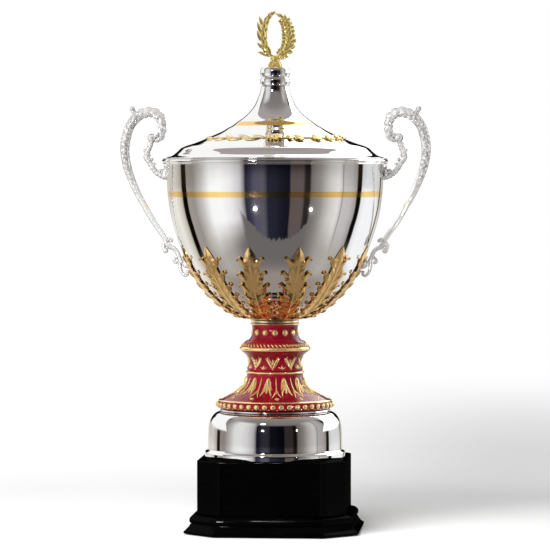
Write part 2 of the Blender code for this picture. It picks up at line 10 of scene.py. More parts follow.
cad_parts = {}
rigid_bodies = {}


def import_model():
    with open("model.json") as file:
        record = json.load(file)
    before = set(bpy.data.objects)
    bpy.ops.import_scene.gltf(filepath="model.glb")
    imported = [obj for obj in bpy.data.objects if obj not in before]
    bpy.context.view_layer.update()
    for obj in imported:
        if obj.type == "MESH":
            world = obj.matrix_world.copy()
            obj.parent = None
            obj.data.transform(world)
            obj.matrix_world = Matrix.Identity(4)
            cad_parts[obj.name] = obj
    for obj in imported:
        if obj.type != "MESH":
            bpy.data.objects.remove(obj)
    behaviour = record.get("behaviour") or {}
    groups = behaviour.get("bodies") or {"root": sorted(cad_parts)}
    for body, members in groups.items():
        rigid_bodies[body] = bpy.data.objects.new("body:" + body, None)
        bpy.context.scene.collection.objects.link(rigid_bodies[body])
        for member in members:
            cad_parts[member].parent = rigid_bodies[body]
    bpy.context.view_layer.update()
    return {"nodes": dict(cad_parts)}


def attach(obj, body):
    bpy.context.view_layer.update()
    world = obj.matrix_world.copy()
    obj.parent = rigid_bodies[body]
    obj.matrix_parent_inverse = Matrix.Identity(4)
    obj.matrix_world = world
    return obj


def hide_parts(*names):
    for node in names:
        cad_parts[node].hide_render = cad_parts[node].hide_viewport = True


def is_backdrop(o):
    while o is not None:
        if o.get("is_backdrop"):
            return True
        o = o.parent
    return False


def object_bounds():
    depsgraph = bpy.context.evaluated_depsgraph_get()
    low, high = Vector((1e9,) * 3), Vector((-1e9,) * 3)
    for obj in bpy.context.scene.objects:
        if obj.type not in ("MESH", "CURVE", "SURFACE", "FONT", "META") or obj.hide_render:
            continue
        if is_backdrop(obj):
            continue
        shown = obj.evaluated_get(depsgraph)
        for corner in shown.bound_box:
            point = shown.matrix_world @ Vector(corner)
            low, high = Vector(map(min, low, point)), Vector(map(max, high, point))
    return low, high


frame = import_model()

MM = 0.001
rad = math.radians
VIEW_AZ = 4.5            # camera azimuth, degrees round from the front towards +X

# =============================================================================
# camera
# =============================================================================
distance, height, pitch, focal_px = 3.93, 0.4165, 1.77, 3400.0
cam_data = bpy.data.cameras.new("camera")
cam_data.sensor_width = 36.0
cam_data.lens = 36.0 * focal_px / 550.0
cam_data.clip_start, cam_data.clip_end = 0.05, 60.0
camera = bpy.data.objects.new("camera", cam_data)
bpy.context.scene.collection.objects.link(camera)
camera.location = (distance * math.sin(rad(VIEW_AZ)), -distance * math.cos(rad(VIEW_AZ)), height)
camera.rotation_euler = (rad(90 - pitch), 0, rad(VIEW_AZ))
bpy.context.scene.camera = camera
bpy.context.scene.view_settings.view_transform = "Standard"


# =============================================================================
# node helpers
# =============================================================================
class Nodes:
    """Short calls for building a node tree."""

    def __init__(self, tree):
        self.t = tree

    def new(self, kind, **values):
        n = self.t.nodes.new(kind)
        for k, v in values.items():
            setattr(n, k, v)
        return n

    def link(self, a, b):
        self.t.links.new(a, b)

    def put(self, socket, value):
        if isinstance(value, bpy.types.NodeSocket):
            self.link(value, socket)
        else:
            socket.default_value = value

    def math(self, op, a, b=0.0, c=0.0, clamp=False):
        n = self.new("ShaderNodeMath", operation=op, use_clamp=clamp)
        self.put(n.inputs[0], a)
        self.put(n.inputs[1], b)
        self.put(n.inputs[2], c)
        return n.outputs[0]

    def ramp_range(self, value, a, b, c=0.0, d=1.0, kind="SMOOTHSTEP"):
        n = self.new("ShaderNodeMapRange", interpolation_type=kind)
        self.put(n.inputs["Value"], value)
        self.put(n.inputs["From Min"], a)
        self.put(n.inputs["From Max"], b)
        self.put(n.inputs["To Min"], c)
        self.put(n.inputs["To Max"], d)
        return n.outputs["Result"]

    def mix(self, factor, a, b):
        n = self.new("ShaderNodeMix", data_type="RGBA")
        self.put(n.inputs[0], factor)
        self.put(n.inputs[6], a)
        self.put(n.inputs[7], b)
        return n.outputs[2]

    def noise(self, vector, scale, detail=4.0, rough=0.55, out="Fac"):
        n = self.new("ShaderNodeTexNoise")
        self.link(vector, n.inputs["Vector"])
        n.inputs["Scale"].default_value = scale
        n.inputs["Detail"].default_value = detail
        n.inputs["Roughness"].default_value = rough
        return n.outputs[out]

    def voronoi(self, vector, scale, feature="F1", out="Distance"):
        n = self.new("ShaderNodeTexVoronoi", feature=feature)
        self.link(vector, n.inputs["Vector"])
        n.inputs["Scale"].default_value = scale
        return n.outputs[out]

    def coords(self, scale=(1, 1, 1), kind="Object"):
        c = self.new("ShaderNodeTexCoord")
        if tuple(scale) == (1, 1, 1):
            return c.outputs[kind]
        m = self.new("ShaderNodeMapping")
        self.link(c.outputs[kind], m.inputs["Vector"])
        m.inputs["Scale"].default_value = scale
        return m.outputs["Vector"]

    def colours(self, value, stops, mode="LINEAR"):
        n = self.new("ShaderNodeValToRGB")
        n.color_ramp.interpolation = mode
        e = n.color_ramp.elements
        while len(e) < len(stops):
            e.new(0.5)
        for i, (p, c) in enumerate(stops):
            e[i].position = p
            e[i].color = (*c, 1.0)
        self.link(value, n.inputs[0])
        return n.outputs[0]

    def bump(self, heights, distance, strength=1.0):
        """Bumps stacked from (height, distance) pairs."""
        normal = None
        for h, d in ([(heights, distance)] if not isinstance(heights, list) else heights):
            b = self.new("ShaderNodeBump")
            b.inputs["Strength"].default_value = strength
            b.inputs["Distance"].default_value = d
            self.link(h, b.inputs["Height"])
            if normal is not None:
                self.link(normal, b.inputs["Normal"])
            normal = b.outputs["Normal"]
        return normal


def lin(s):
    """Display value to linear light, for one number or a colour."""
    if isinstance(s, (tuple, list)):
        return tuple(lin(v) for v in s)
    if s > 1.0:
        return s ** 2.2
    return s / 12.92 if s <= 0.04045 else ((s + 0.055) / 1.055) ** 2.4


def tone_white(v):
    """White at v times the display's white."""
    return (v, v, v)


def material(name, metallic=0.0):
    m = bpy.data.materials.new(name)
    m.use_nodes = True
    n = Nodes(m.node_tree)
    p = m.node_tree.nodes["Principled BSDF"]
    p.inputs["Metallic"].default_value = metallic
    return m, n, p


def silver_material(name, spun=True, bright=(0.94, 0.935, 0.925), rough=(0.018, 0.05)):
    """Mirror-polished silver plate: faint cloudiness, polishing hairlines and, on spun pieces, lathe lines."""
    m, n, p = material(name, 1.0)
    here = n.coords()
    cloud = n.noise(here, 14.0, 5.0, 0.6)
    dark = tuple(c * 0.955 for c in bright)
    n.link(n.colours(cloud, [(0.3, dark), (0.62, bright)]), p.inputs["Base Color"])
    hair = n.noise(n.coords((140, 140, 620)), 3.0, 6.0, 0.7)
    n.link(n.ramp_range(n.math("ADD", n.math("MULTIPLY", cloud, 0.6), n.math("MULTIPLY", hair, 0.4)), 0.3, 0.72,
                        rough[0], rough[1], "LINEAR"), p.inputs["Roughness"])
    wave = n.noise(here, 26.0, 2.0, 0.4)
    heights = [(wave, 0.00009), (hair, 0.0000012)]
    if spun:
        heights.append((n.noise(n.coords((0.6, 0.6, 340)), 1.0, 3.0, 0.5), 0.000006))
    n.link(n.bump(heights, 0), p.inputs["Normal"])
    return m


def gilt_material(name, base=(0.91, 0.60, 0.185), deep=(0.42, 0.20, 0.04), rough=(0.10, 0.26), scale=1.0, metal=1.0):
    """Gilding: warm high spots, browner in the hollows, with fine grain; metal below 1 is a frosted gilt."""
    m, n, p = material(name, metal)
    here = n.coords()
    grain = n.noise(here, 420.0 * scale, 5.0, 0.62)
    cloud = n.noise(here, 45.0, 3.0, 0.5)
    geo = n.new("ShaderNodeNewGeometry")
    edge = n.ramp_range(geo.outputs["Pointiness"], 0.43, 0.52, 0.0, 1.0, "LINEAR")
    tone = n.math("ADD", n.math("MULTIPLY", edge, 0.62), n.math("MULTIPLY", cloud, 0.38))
    light = tuple(min(1.0, c * 1.06) for c in base)
    n.link(n.colours(tone, [(0.12, deep), (0.42, base), (0.85, light)]), p.inputs["Base Color"])
    n.link(n.ramp_range(grain, 0.3, 0.7, rough[0], rough[1], "LINEAR"), p.inputs["Roughness"])
    n.link(n.bump([(grain, 0.00005), (cloud, 0.0005)], 0), p.inputs["Normal"])
    return m


def gilt_band_material(name):
    """A flat gilded stripe, mirror bright, finely polished round the piece."""
    m, n, p = material(name, 1.0)
    lines = n.noise(n.coords((8, 8, 2600)), 1.0, 4.0, 0.6)
    cloud = n.noise(n.coords(), 24.0, 3.0, 0.5)
    n.link(n.colours(n.math("ADD", n.math("MULTIPLY", lines, 0.4), n.math("MULTIPLY", cloud, 0.6)),
                     [(0.3, (0.86, 0.53, 0.17)), (0.52, (0.98, 0.68, 0.25)), (0.75, (1.0, 0.76, 0.34))]),
           p.inputs["Base Color"])
    n.link(n.ramp_range(lines, 0.3, 0.7, 0.05, 0.12, "LINEAR"), p.inputs["Roughness"])
    n.link(n.bump([(lines, 0.000006)], 0), p.inputs["Normal"])
    return m


def cast_material(name):
    """Cast and chased silver, frosted from the pickle: a fine tooled ground, greyer where it is low, with painted
    shade along its narrow edges.
    """
    m, n, p = material(name, 0.88)
    here = n.coords()
    chase = n.voronoi(here, 430.0, "SMOOTH_F1")
    fine = n.noise(here, 900.0, 4.0, 0.6)
    geo = n.new("ShaderNodeNewGeometry")
    edge = n.ramp_range(geo.outputs["Pointiness"], 0.40, 0.52, 0.0, 1.0, "LINEAR")
    tone = n.math("ADD", n.math("MULTIPLY", edge, 0.75), n.math("MULTIPLY", fine, 0.25))
    # painted shade: where the normal turns sideways (small Y), the narrow edges of the casting are painted near black
    # and made less metallic, a dark outline standing in for shade; the broad front and back faces keep the silver
    way = n.new("ShaderNodeSeparateXYZ")
    n.link(n.new("ShaderNodeTexCoord").outputs["Normal"], way.inputs[0])
    face = n.ramp_range(n.math("ABSOLUTE", way.outputs["Y"]), 0.40, 0.66)
    worn = n.colours(tone, [(0.05, (0.46, 0.45, 0.445)), (0.30, (0.92, 0.91, 0.90)), (0.6, (0.99, 0.985, 0.975))])
    up = n.new("ShaderNodeSeparateXYZ")
    n.link(here, up.inputs[0])
    arm = n.ramp_range(n.math("ABSOLUTE", up.outputs["X"]), 0.150, 0.163, 0.3, 1.0)
    tooled = n.math("MULTIPLY", n.ramp_range(up.outputs["Z"], 0.385, 0.425, 0.12, 1.0), arm)
    net = n.math("MULTIPLY", n.ramp_range(chase, 0.30, 0.55), n.math("MULTIPLY", tooled, 0.60))
    ground = n.mix(net, worn, (0.26, 0.25, 0.24, 1.0))
    # painted shade: near black on the narrow edges, the silver ground on the faces
    n.link(n.mix(face, (0.052, 0.049, 0.046, 1.0), ground), p.inputs["Base Color"])
    n.link(n.math("MULTIPLY", face, 0.70), p.inputs["Metallic"])
    n.link(n.math("MULTIPLY", face, 0.5), p.inputs["Specular IOR Level"])
    n.link(n.ramp_range(fine, 0.3, 0.7, 0.10, 0.22, "LINEAR"), p.inputs["Roughness"])
    pits = n.math("MULTIPLY", n.math("ADD", chase, n.math("MULTIPLY", n.noise(here, 620.0, 3.0, 0.6), 0.7)), tooled)
    n.link(n.bump([(pits, 0.00055), (fine, 0.00001)], 0), p.inputs["Normal"])
    return m


def enamel_material(name):
    """Crimson enamel under a clear fired gloss, deeper where it pools."""
    m, n, p = material(name, 0.0)
    here = n.coords()
    cloud = n.noise(here, 75.0, 5.0, 0.6)
    speck = n.noise(here, 520.0, 3.0, 0.5)
    geo = n.new("ShaderNodeNewGeometry")
    edge = n.ramp_range(geo.outputs["Pointiness"], 0.44, 0.54, 0.0, 1.0, "LINEAR")
    tone = n.math("ADD", n.math("MULTIPLY", edge, 0.45),
                  n.math("ADD", n.math("MULTIPLY", cloud, 0.4), n.math("MULTIPLY", speck, 0.15)))
    n.link(n.colours(tone, [(0.22, (0.030, 0.0003, 0.003)), (0.5, (0.125, 0.0012, 0.008)), (0.8, (0.26, 0.004, 0.014))]),
           p.inputs["Base Color"])
    n.link(n.ramp_range(speck, 0.3, 0.7, 0.08, 0.18, "LINEAR"), p.inputs["Roughness"])
    p.inputs["Specular IOR Level"].default_value = 0.22
    p.inputs["Specular Tint"].default_value = (1.0, 0.55, 0.62, 1.0)
    p.inputs["Coat Weight"].default_value = 0.22
    p.inputs["Coat Roughness"].default_value = 0.03
    n.link(n.bump([(cloud, 0.0007), (speck, 0.00003)], 0), p.inputs["Normal"])
    return m


def lacquer_material(name):
    """Piano-black lacquer over wood: a weak even mirror over near black, with a slight orange-peel surface."""
    m, n, p = material(name, 0.0)
    here = n.coords()
    peel = n.noise(here, 150.0, 2.0, 0.4)
    grain = n.noise(n.coords((12, 12, 160)), 4.0, 6.0, 0.7)
    n.link(n.colours(grain, [(0.35, (0.0003, 0.0003, 0.0003)), (0.7, (0.0011, 0.0010, 0.0010))]), p.inputs["Base Color"])
    p.inputs["Roughness"].default_value = 0.5
    p.inputs["Specular IOR Level"].default_value = 0.0
    bumps = n.bump([(peel, 0.00003), (grain, 0.000004)], 0)
    n.link(bumps, p.inputs["Normal"])
    gloss = n.new("ShaderNodeBsdfAnisotropic")
    gloss.inputs["Color"].default_value = (1, 1, 1, 1)
    n.link(n.ramp_range(n.noise(here, 30.0, 4.0, 0.6), 0.3, 0.7, 0.03, 0.09, "LINEAR"), gloss.inputs["Roughness"])
    n.link(bumps, gloss.inputs["Normal"])
    mixed = n.new("ShaderNodeMixShader")
    mixed.inputs[0].default_value = 0.0045
    n.link(p.outputs[0], mixed.inputs[1])
    n.link(gloss.outputs[0], mixed.inputs[2])
    n.link(mixed.outputs[0], m.node_tree.nodes["Material Output"].inputs["Surface"])
    return m


def steel_material(name):
    m, n, p = material(name, 1.0)
    lines = n.noise(n.coords((900, 900, 90)), 1.0, 4.0, 0.6)
    n.link(n.colours(lines, [(0.3, (0.42, 0.42, 0.43)), (0.7, (0.62, 0.62, 0.62))]), p.inputs["Base Color"])
    n.link(n.ramp_range(lines, 0.3, 0.7, 0.24, 0.42, "LINEAR"), p.inputs["Roughness"])
    n.link(n.bump([(lines, 0.00001)], 0), p.inputs["Normal"])
    return m


def felt_material(name):
    m, n, p = material(name, 0.0)
    here = n.coords()
    fibre = n.noise(here, 1600.0, 6.0, 0.75)
    n.link(n.colours(fibre, [(0.3, (0.006, 0.012, 0.008)), (0.7, (0.02, 0.045, 0.028))]), p.inputs["Base Color"])
    p.inputs["Roughness"].default_value = 0.95
    p.inputs["Sheen Weight"].default_value = 0.3
    n.link(n.bump([(fibre, 0.0002)], 0), p.inputs["Normal"])
    return m


SILVER = silver_material("mirror_silver")
SILVER_CAST = cast_material("chased_silver")
GILT = gilt_material("gilt", (1.0, 0.80, 0.32), (0.34, 0.13, 0.01), (0.06, 0.16), 1.0, 0.90)
GILT_SPRAY = gilt_material("gilt_spray", (0.98, 0.74, 0.32), (0.46, 0.27, 0.07), (0.10, 0.22), 1.0, 0.85)
GILT_LEAF = gilt_material("gilt_leaf", (0.88, 0.60, 0.26), (0.40, 0.21, 0.06), (0.09, 0.20))
GILT_STEM = gilt_material("gilt_relief", (1.0, 0.69, 0.32), (0.42, 0.13, 0.03), (0.12, 0.24), 1.4, 0.86)
GILT_EDGE = gilt_material("gilt_turned", (1.0, 0.74, 0.36), (0.60, 0.30, 0.08), (0.07, 0.14))
BAND = gilt_band_material("gilt_band")
ENAMEL = enamel_material("crimson_enamel")
BLACK = lacquer_material("black_lacquer_gloss")
STEEL = steel_material("plated_steel")
FELT = felt_material("pressed_felt")


# =============================================================================
# mesh helpers: everything below is in millimetres until a piece is made
# =============================================================================
class Shape:
    """Gathers closed shells into one mesh, each face with a material index."""

    def __init__(self):
        self.v, self.f, self.m, self.count = [], [], [], 0

    def add(self, shell, mat=0, matrix=None):
        verts, faces = shell
        verts = np.asarray(verts, float)
        if matrix is not None:
            a = np.array(matrix)
            verts = verts @ a[:3, :3].T + a[:3, 3]
        self.v.append(verts)
        self.f.extend([tuple(int(i) + self.count for i in f) for f in faces])
        self.m.extend(mat if isinstance(mat, list) else [mat] * len(faces))
        self.count += len(verts)
        return self

    def piece(self, name, mats, body, nodes, slot, angle=40, turn=None):
        verts = np.concatenate(self.v) * MM
        mesh = bpy.data.meshes.new(name)
        mesh.from_pydata(verts.tolist(), [], self.f)
        for m in mats:
            mesh.materials.append(m)
        mesh.polygons.foreach_set("material_index", self.m)
        bm = bmesh.new()
        bm.from_mesh(mesh)
        bmesh.ops.dissolve_degenerate(bm, edges=bm.edges, dist=1e-7)
        bmesh.ops.recalc_face_normals(bm, faces=bm.faces)
        bm.to_mesh(mesh)
        bm.free()
        mesh.shade_smooth()
        mesh.set_sharp_from_angle(angle=rad(angle))
        obj = bpy.data.objects.new(name, mesh)
        bpy.context.scene.collection.objects.link(obj)
        if turn is not None:
            mesh.transform(turn)
        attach(obj, body)
        if nodes:
            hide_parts(*nodes)
        return obj


def curve(points, step=2.0, ends=None):
    """Centripetal-like smooth line through points of any dimension, sampled about every step mm."""
    p = np.asarray(points, float)
    out = []
    for i in range(len(p) - 1):
        p1, p2 = p[i], p[i + 1]
        p0 = p[i - 1] if i else 2 * p1 - p2
        p3 = p[i + 2] if i + 2 < len(p) else 2 * p2 - p1
        # tangents scaled to uneven spacing
        d0, d1, d2 = (max(np.linalg.norm(b[:2] - a[:2]), 1e-6) for a, b in ((p0, p1), (p1, p2), (p2, p3)))
        m1 = d1 * ((p1 - p0) / d0 - (p2 - p0) / (d0 + d1) + (p2 - p1) / d1)
        m2 = d1 * ((p2 - p1) / d1 - (p3 - p1) / (d1 + d2) + (p3 - p2) / d2)
        n = max(1, int(round(d1 / step)))
        for k in range(n):
            t = k / n
            out.append((2 * t ** 3 - 3 * t ** 2 + 1) * p1 + (t ** 3 - 2 * t ** 2 + t) * m1
                       + (-2 * t ** 3 + 3 * t ** 2) * p2 + (t ** 3 - t ** 2) * m2)
    out.append(p[-1])
    return np.array(out)


def offset(line, depth):
    """A (radius, height) line moved to its left by depth."""
    line = np.asarray(line, float)
    d = np.gradient(line, axis=0)
    d /= np.linalg.norm(d, axis=1)[:, None]
    return line + np.stack([-d[:, 1], d[:, 0]], 1) * depth


def joined(*runs):
    """Runs of (radius, height) points as one closed outline, with repeated points left out."""
    pts = [tuple(map(float, q)) for run in runs for q in run]
    out = [pts[0]]
    for q in pts[1:]:
        if math.dist(q, out[-1]) > 1e-4:
            out.append(q)
    if math.dist(out[0], out[-1]) < 1e-4:
        out.pop()
    return out


def lathe(outline, segments):
    """Spins a closed outline round Z."""
    verts, rings = [], []
    for r, z in outline:
        if r < 1e-6:
            rings.append([len(verts)] * segments)
            verts.append((0, 0, z))
        else:
            rings.append(list(range(len(verts), len(verts) + segments)))
            verts += [(r * math.cos(2 * math.pi * k / segments), r * math.sin(2 * math.pi * k / segments), z)
                      for k in range(segments)]
    faces, rows = [], []
    for i in range(len(outline)):
        j = (i + 1) % len(outline)
        a, b = rings[i], rings[j]
        if outline[i][0] < 1e-6 and outline[j][0] < 1e-6:
            continue
        for k in range(segments):
            l = (k + 1) % segments
            q = []
            for w in (a[k], a[l], b[l], b[k]):
                if w not in q:
                    q.append(w)
            faces.append(tuple(q))
            rows.append(i)
    return (verts, faces), rows


class Line:
    """A (radius, height) line read by distance along it."""

    def __init__(self, points):
        self.p = np.asarray(points, float)
        self.s = np.concatenate([[0], np.cumsum(np.linalg.norm(np.diff(self.p, axis=0), axis=1))])
        d = np.gradient(self.p, self.s, axis=0)
        self.d = d / np.linalg.norm(d, axis=1)[:, None]
        self.length = self.s[-1]

    def at(self, s):
        r, z = np.interp(s, self.s, self.p[:, 0]), np.interp(s, self.s, self.p[:, 1])
        a, b = np.interp(s, self.s, self.d[:, 0]), np.interp(s, self.s, self.d[:, 1])
        n = math.hypot(a, b)
        return r, z, a / n, b / n

    def where(self, index, value):
        q = self.p[:, index]
        for i in range(len(q) - 1):
            if (q[i] - value) * (q[i + 1] - value) <= 0 and q[i] != q[i + 1]:
                return self.s[i] + (value - q[i]) / (q[i + 1] - q[i]) * (self.s[i + 1] - self.s[i])
        raise ValueError(value)

    def place(self, azimuth, s, x, h):
        """The point s along the line and x mm round it from azimuth, standing h off it on the outer side."""
        r, z, a, b = self.at(s)
        t = azimuth + x / max(r, 1.0)
        rr, zz = r + b * h, z - a * h
        return (rr * math.cos(t), rr * math.sin(t), zz)


def sheet(top, bottom):
    """A closed thin shell from two matching grids of points [row][column]."""
    nu, nv = len(top), len(top[0])
    verts = [p for row in top for p in row] + [p for row in bottom for p in row]
    n = nu * nv

    def a(i, j):
        return i * nv + j

    faces = []
    for i in range(nu - 1):
        for j in range(nv - 1):
            faces.append((a(i, j), a(i, j + 1), a(i + 1, j + 1), a(i + 1, j)))
            faces.append((n + a(i, j), n + a(i + 1, j), n + a(i + 1, j + 1), n + a(i, j + 1)))
    for i in range(nu - 1):
        faces.append((a(i, 0), a(i + 1, 0), n + a(i + 1, 0), n + a(i, 0)))
        faces.append((a(i, nv - 1), n + a(i, nv - 1), n + a(i + 1, nv - 1), a(i + 1, nv - 1)))
    for j in range(nv - 1):
        faces.append((a(0, j), n + a(0, j), n + a(0, j + 1), a(0, j + 1)))
        faces.append((a(nu - 1, j), a(nu - 1, j + 1), n + a(nu - 1, j + 1), n + a(nu - 1, j)))
    return verts, faces


def ball(centre, r, rings=8, sides=14, squash=(1, 1, 1), axes=None):
    """A round bead; axes gives its own frame's columns."""
    verts, faces = [], []
    m = np.eye(3) if axes is None else np.array(axes).T
    for i in range(rings + 1):
        t = math.pi * i / rings
        if i in (0, rings):
            verts.append(np.array((0, 0, math.cos(t))))
        else:
            verts += [np.array((math.sin(t) * math.cos(2 * math.pi * k / sides),
                                math.sin(t) * math.sin(2 * math.pi * k / sides), math.cos(t))) for k in range(sides)]
    for k in range(sides):
        l = (k + 1) % sides
        faces.append((0, 1 + k, 1 + l))
        last = len(verts) - 1
        base = 1 + (rings - 2) * sides
        faces.append((last, base + l, base + k))
    for i in range(rings - 2):
        for k in range(sides):
            l = (k + 1) % sides
            p, q = 1 + i * sides, 1 + (i + 1) * sides
            faces.append((p + k, q + k, q + l, p + l))
    verts = [np.array(centre) + m @ (v * r * np.array(squash)) for v in verts]
    return verts, faces


def tube(centres, normals, binormals, a, b, sides=16, shape=None):
    """An oval rod through centres with its own cross axes, rounded shut at both ends; shape(i, angle) scales a radius."""
    n = len(centres)
    verts, faces = [], []
    for i in range(n):
        for k in range(sides):
            t = 2 * math.pi * k / sides
            f = 1.0 if shape is None else shape(i, t)
            verts.append(np.array(centres[i]) + np.array(normals[i]) * a[i] * math.cos(t) * f
                         + np.array(binormals[i]) * b[i] * math.sin(t) * f)
    for i in range(n - 1):
        for k in range(sides):
            l = (k + 1) % sides
            faces.append((i * sides + k, i * sides + l, (i + 1) * sides + l, (i + 1) * sides + k))
    verts.append(np.array(centres[0]))
    verts.append(np.array(centres[-1]))
    for k in range(sides):
        l = (k + 1) % sides
        faces.append((n * sides, l, k))
        faces.append((n * sides + 1, (n - 1) * sides + k, (n - 1) * sides + l))
    return verts, faces


def flat_tube(stations, step=1.0, sides=16, shape=None, y=0.0):
    """A rod in the XZ plane through (x, z, half width in plane, half width across) stations."""
    p = curve(stations, step)
    d = np.gradient(p[:, :2], axis=0)
    d /= np.linalg.norm(d, axis=1)[:, None]
    centres = [(q[0], y, q[1]) for q in p]
    normals = [(-t[1], 0, t[0]) for t in d]
    return tube(centres, normals, [(0, 1, 0)] * len(p), p[:, 2], p[:, 3], sides, shape)


def smooth(x):
    x = min(1.0, max(0.0, x))
    return x * x * (3 - 2 * x)


# =============================================================================
# outlines, (radius, height)
# =============================================================================
BOWL_PTS = [(26.0, 245.5), (38.0, 247.3), (48.3, 250.9), (59.5, 257.8), (67.9, 264.7), (75.2, 271.7), (82.0, 278.9),
            (88.2, 286.8), (93.9, 294.6), (98.9, 303.2), (103.2, 312.3), (107.8, 323.7), (111.8, 334.8),
            (115.9, 347.6), (119.3, 360.0), (121.9, 373.0), (123.6, 385.5), (124.3, 392.0), (125.0, 403.0),
            (125.6, 416.0), (126.0, 429.2)]
LID_PTS = [(117.0, 433.9), (112.6, 437.6), (108.6, 441.4), (103.6, 443.9)]
DOME_PTS = [(103.6, 443.9), (90.5, 448.2), (82.0, 451.6), (75.0, 454.8), (66.0, 458.6), (59.0, 462.0), (53.0, 465.6),
            (49.6, 467.3), (43.4, 472.0), (38.0, 475.6), (33.2, 479.4), (29.6, 483.0), (26.2, 487.0), (23.4, 491.2),
            (20.9, 496.4), (18.7, 502.0), (17.0, 507.0), (15.9, 512.5)]
BASE_PTS = [(77.7, 94.6), (77.6, 104.0), (77.3, 113.0), (76.6, 121.0), (75.1, 127.2), (72.3, 132.2), (68.9, 135.6),
            (65.4, 137.1), (63.0, 137.5)]

bowl_line = Line(curve(BOWL_PTS, 1.0))
dome_line = Line(curve(DOME_PTS, 1.0))

# =============================================================================
# bowl
# =============================================================================
SEG = 256
outer = curve(BOWL_PTS, 2.4)
for z in (385.5, 392.2):
    s = bowl_line.where(1, z)
    outer = np.vstack([outer, [bowl_line.at(s)[:2]]])
outer = outer[np.argsort(outer[:, 1])]
keep = np.concatenate([[True], np.linalg.norm(np.diff(outer, axis=0), axis=1) > 0.25])
outer = outer[keep]
inner = offset(curve(BOWL_PTS, 3.2), 1.5)
inner[0] = (inner[0][0], BOWL_PTS[0][1] + 1.5)
inner[-1] = (124.5, 429.2)
outline = joined([(4.6, 245.5)], outer, [(125.9, 429.5), (125.6, 429.6), (124.9, 429.6), (124.6, 429.5)], inner[::-1],
                 [(4.6, 247.0)])
shell, rows = lathe(outline, SEG)
mats = [1 if (385.4 < (outline[i][1] + outline[(i + 1) % len(outline)][1]) / 2 < 392.3
              and outline[i][0] > 123.0 and outline[(i + 1) % len(outline)][1] > outline[i][1]) else 0 for i in rows]
Shape().add(shell, mats).piece("bowl_polished", [SILVER, BAND], "cup", ["bowl"], "silver_plate")

# band round the mouth: a flat between two fine beads
rim = joined([(126.4, 422.9), (128.6, 422.9)], curve([(128.6, 422.9), (129.5, 423.2), (129.6, 423.9), (129.2, 424.4)], 0.3),
             curve([(129.5, 424.6), (130.2, 425.1), (130.2, 428.0), (129.6, 428.6)], 0.5),
             curve([(129.2, 428.7), (129.8, 429.0), (129.7, 429.4), (129.0, 429.6)], 0.25), [(126.4, 429.6)])
Shape().add(lathe(rim, SEG)[0]).piece("rim_band", [SILVER], "cup", ["bowl_rim"], "silver_plate")

# =============================================================================
# lid
# =============================================================================
brim = curve(LID_PTS, 1.2)
dome = curve(DOME_PTS, 1.8)
for z in (467.2, 472.2):
    dome = np.vstack([dome, [dome_line.at(dome_line.where(1, z))[:2]]])
dome = dome[np.argsort(dome[:, 1])]
dome = dome[np.concatenate([[True], np.linalg.norm(np.diff(dome, axis=0), axis=1) > 0.25])]
under = offset(curve(DOME_PTS, 3.0), 1.5)[2:-3]
edge = curve([(125.8, 430.1), (125.9, 430.4), (125.6, 430.7), (124.9, 430.9)], 0.2)
outline = joined([(121.4, 430.0), (125.6, 430.0)], edge, curve([(124.9, 430.9), (123.0, 431.5), (119.6, 432.5), (117.0, 433.9)], 0.8),
                 brim,
                 dome, [(3.6, 512.5), (3.6, 511.0), (14.4, 511.0)], under[::-1],
                 offset(brim, 1.5)[::-1], [(115.6, 432.6), (118.6, 431.3), (121.4, 431.0)])
shell, rows = lathe(outline, SEG)
mats = [1 if (467.1 < (outline[i][1] + outline[(i + 1) % len(outline)][1]) / 2 < 472.3
              and outline[(i + 1) % len(outline)][1] > outline[i][1]) else 0 for i in rows]
Shape().add(shell, mats).piece("lid_polished", [SILVER, BAND], "lid", ["lid_shell"], "silver_plate", 28)

ring = joined([(121.8, 418.5), (122.9, 418.5)], curve([(122.9, 418.5), (123.25, 418.9), (123.3, 419.6)], 0.2),
              [(123.3, 429.7), (121.8, 429.7)])
Shape().add(lathe(ring, SEG)[0]).piece("lid_ring_polished", [SILVER], "lid", ["lid_guide_ring"], "silver_plate")

collar = joined([(3.6, 512.8), (14.8, 512.8)],
                curve([(14.8, 512.8), (16.2, 513.6), (17.0, 515.6), (17.2, 518.2), (16.8, 520.8), (15.7, 522.6)], 0.5),
                curve([(15.5, 523.0), (16.4, 524.2), (17.1, 526.6), (17.1, 529.4), (16.6, 531.8), (15.6, 533.8),
                       (14.2, 534.6), (12.8, 534.3), (11.4, 533.0), (10.0, 532.4)], 0.5), [(3.6, 532.4)])
Shape().add(lathe(collar, 128)[0]).piece("neck_beads", [SILVER], "lid", ["lid_collar"], "silver_plate", 50)

# =============================================================================
# base dome on the plinth
# =============================================================================
wall = curve(BASE_PTS, 1.2)
outline = joined([(79.7, 85.3), (81.2, 85.3), (81.2, 85.9)],
                 curve([(81.2, 85.9), (81.3, 88.4), (81.2, 90.6), (80.6, 91.8), (79.6, 92.3)], 0.5),
                 curve([(79.4, 92.6), (78.4, 92.9), (77.9, 93.7), (77.7, 94.6)], 0.4), wall,
                 [(4.6, 137.5), (4.6, 136.0)], offset(wall, 1.5)[::-1], [(76.2, 93.0), (79.7, 91.0)])
Shape().add(lathe(outline, SEG)[0]).piece("base_dome_polished", [SILVER], "cup", ["base_dome"], "silver_plate", 50)
outline = joined([(4.6, 137.8), (61.2, 137.8)],
                 curve([(61.2, 137.8), (63.0, 138.3), (63.6, 139.4), (63.0, 140.5), (61.4, 141.0)], 0.4), [(4.6, 141.0)])
Shape().add(lathe(outline, 192)[0]).piece("stem_seat_polished", [SILVER], "cup", ["stem_seat"], "silver_plate")

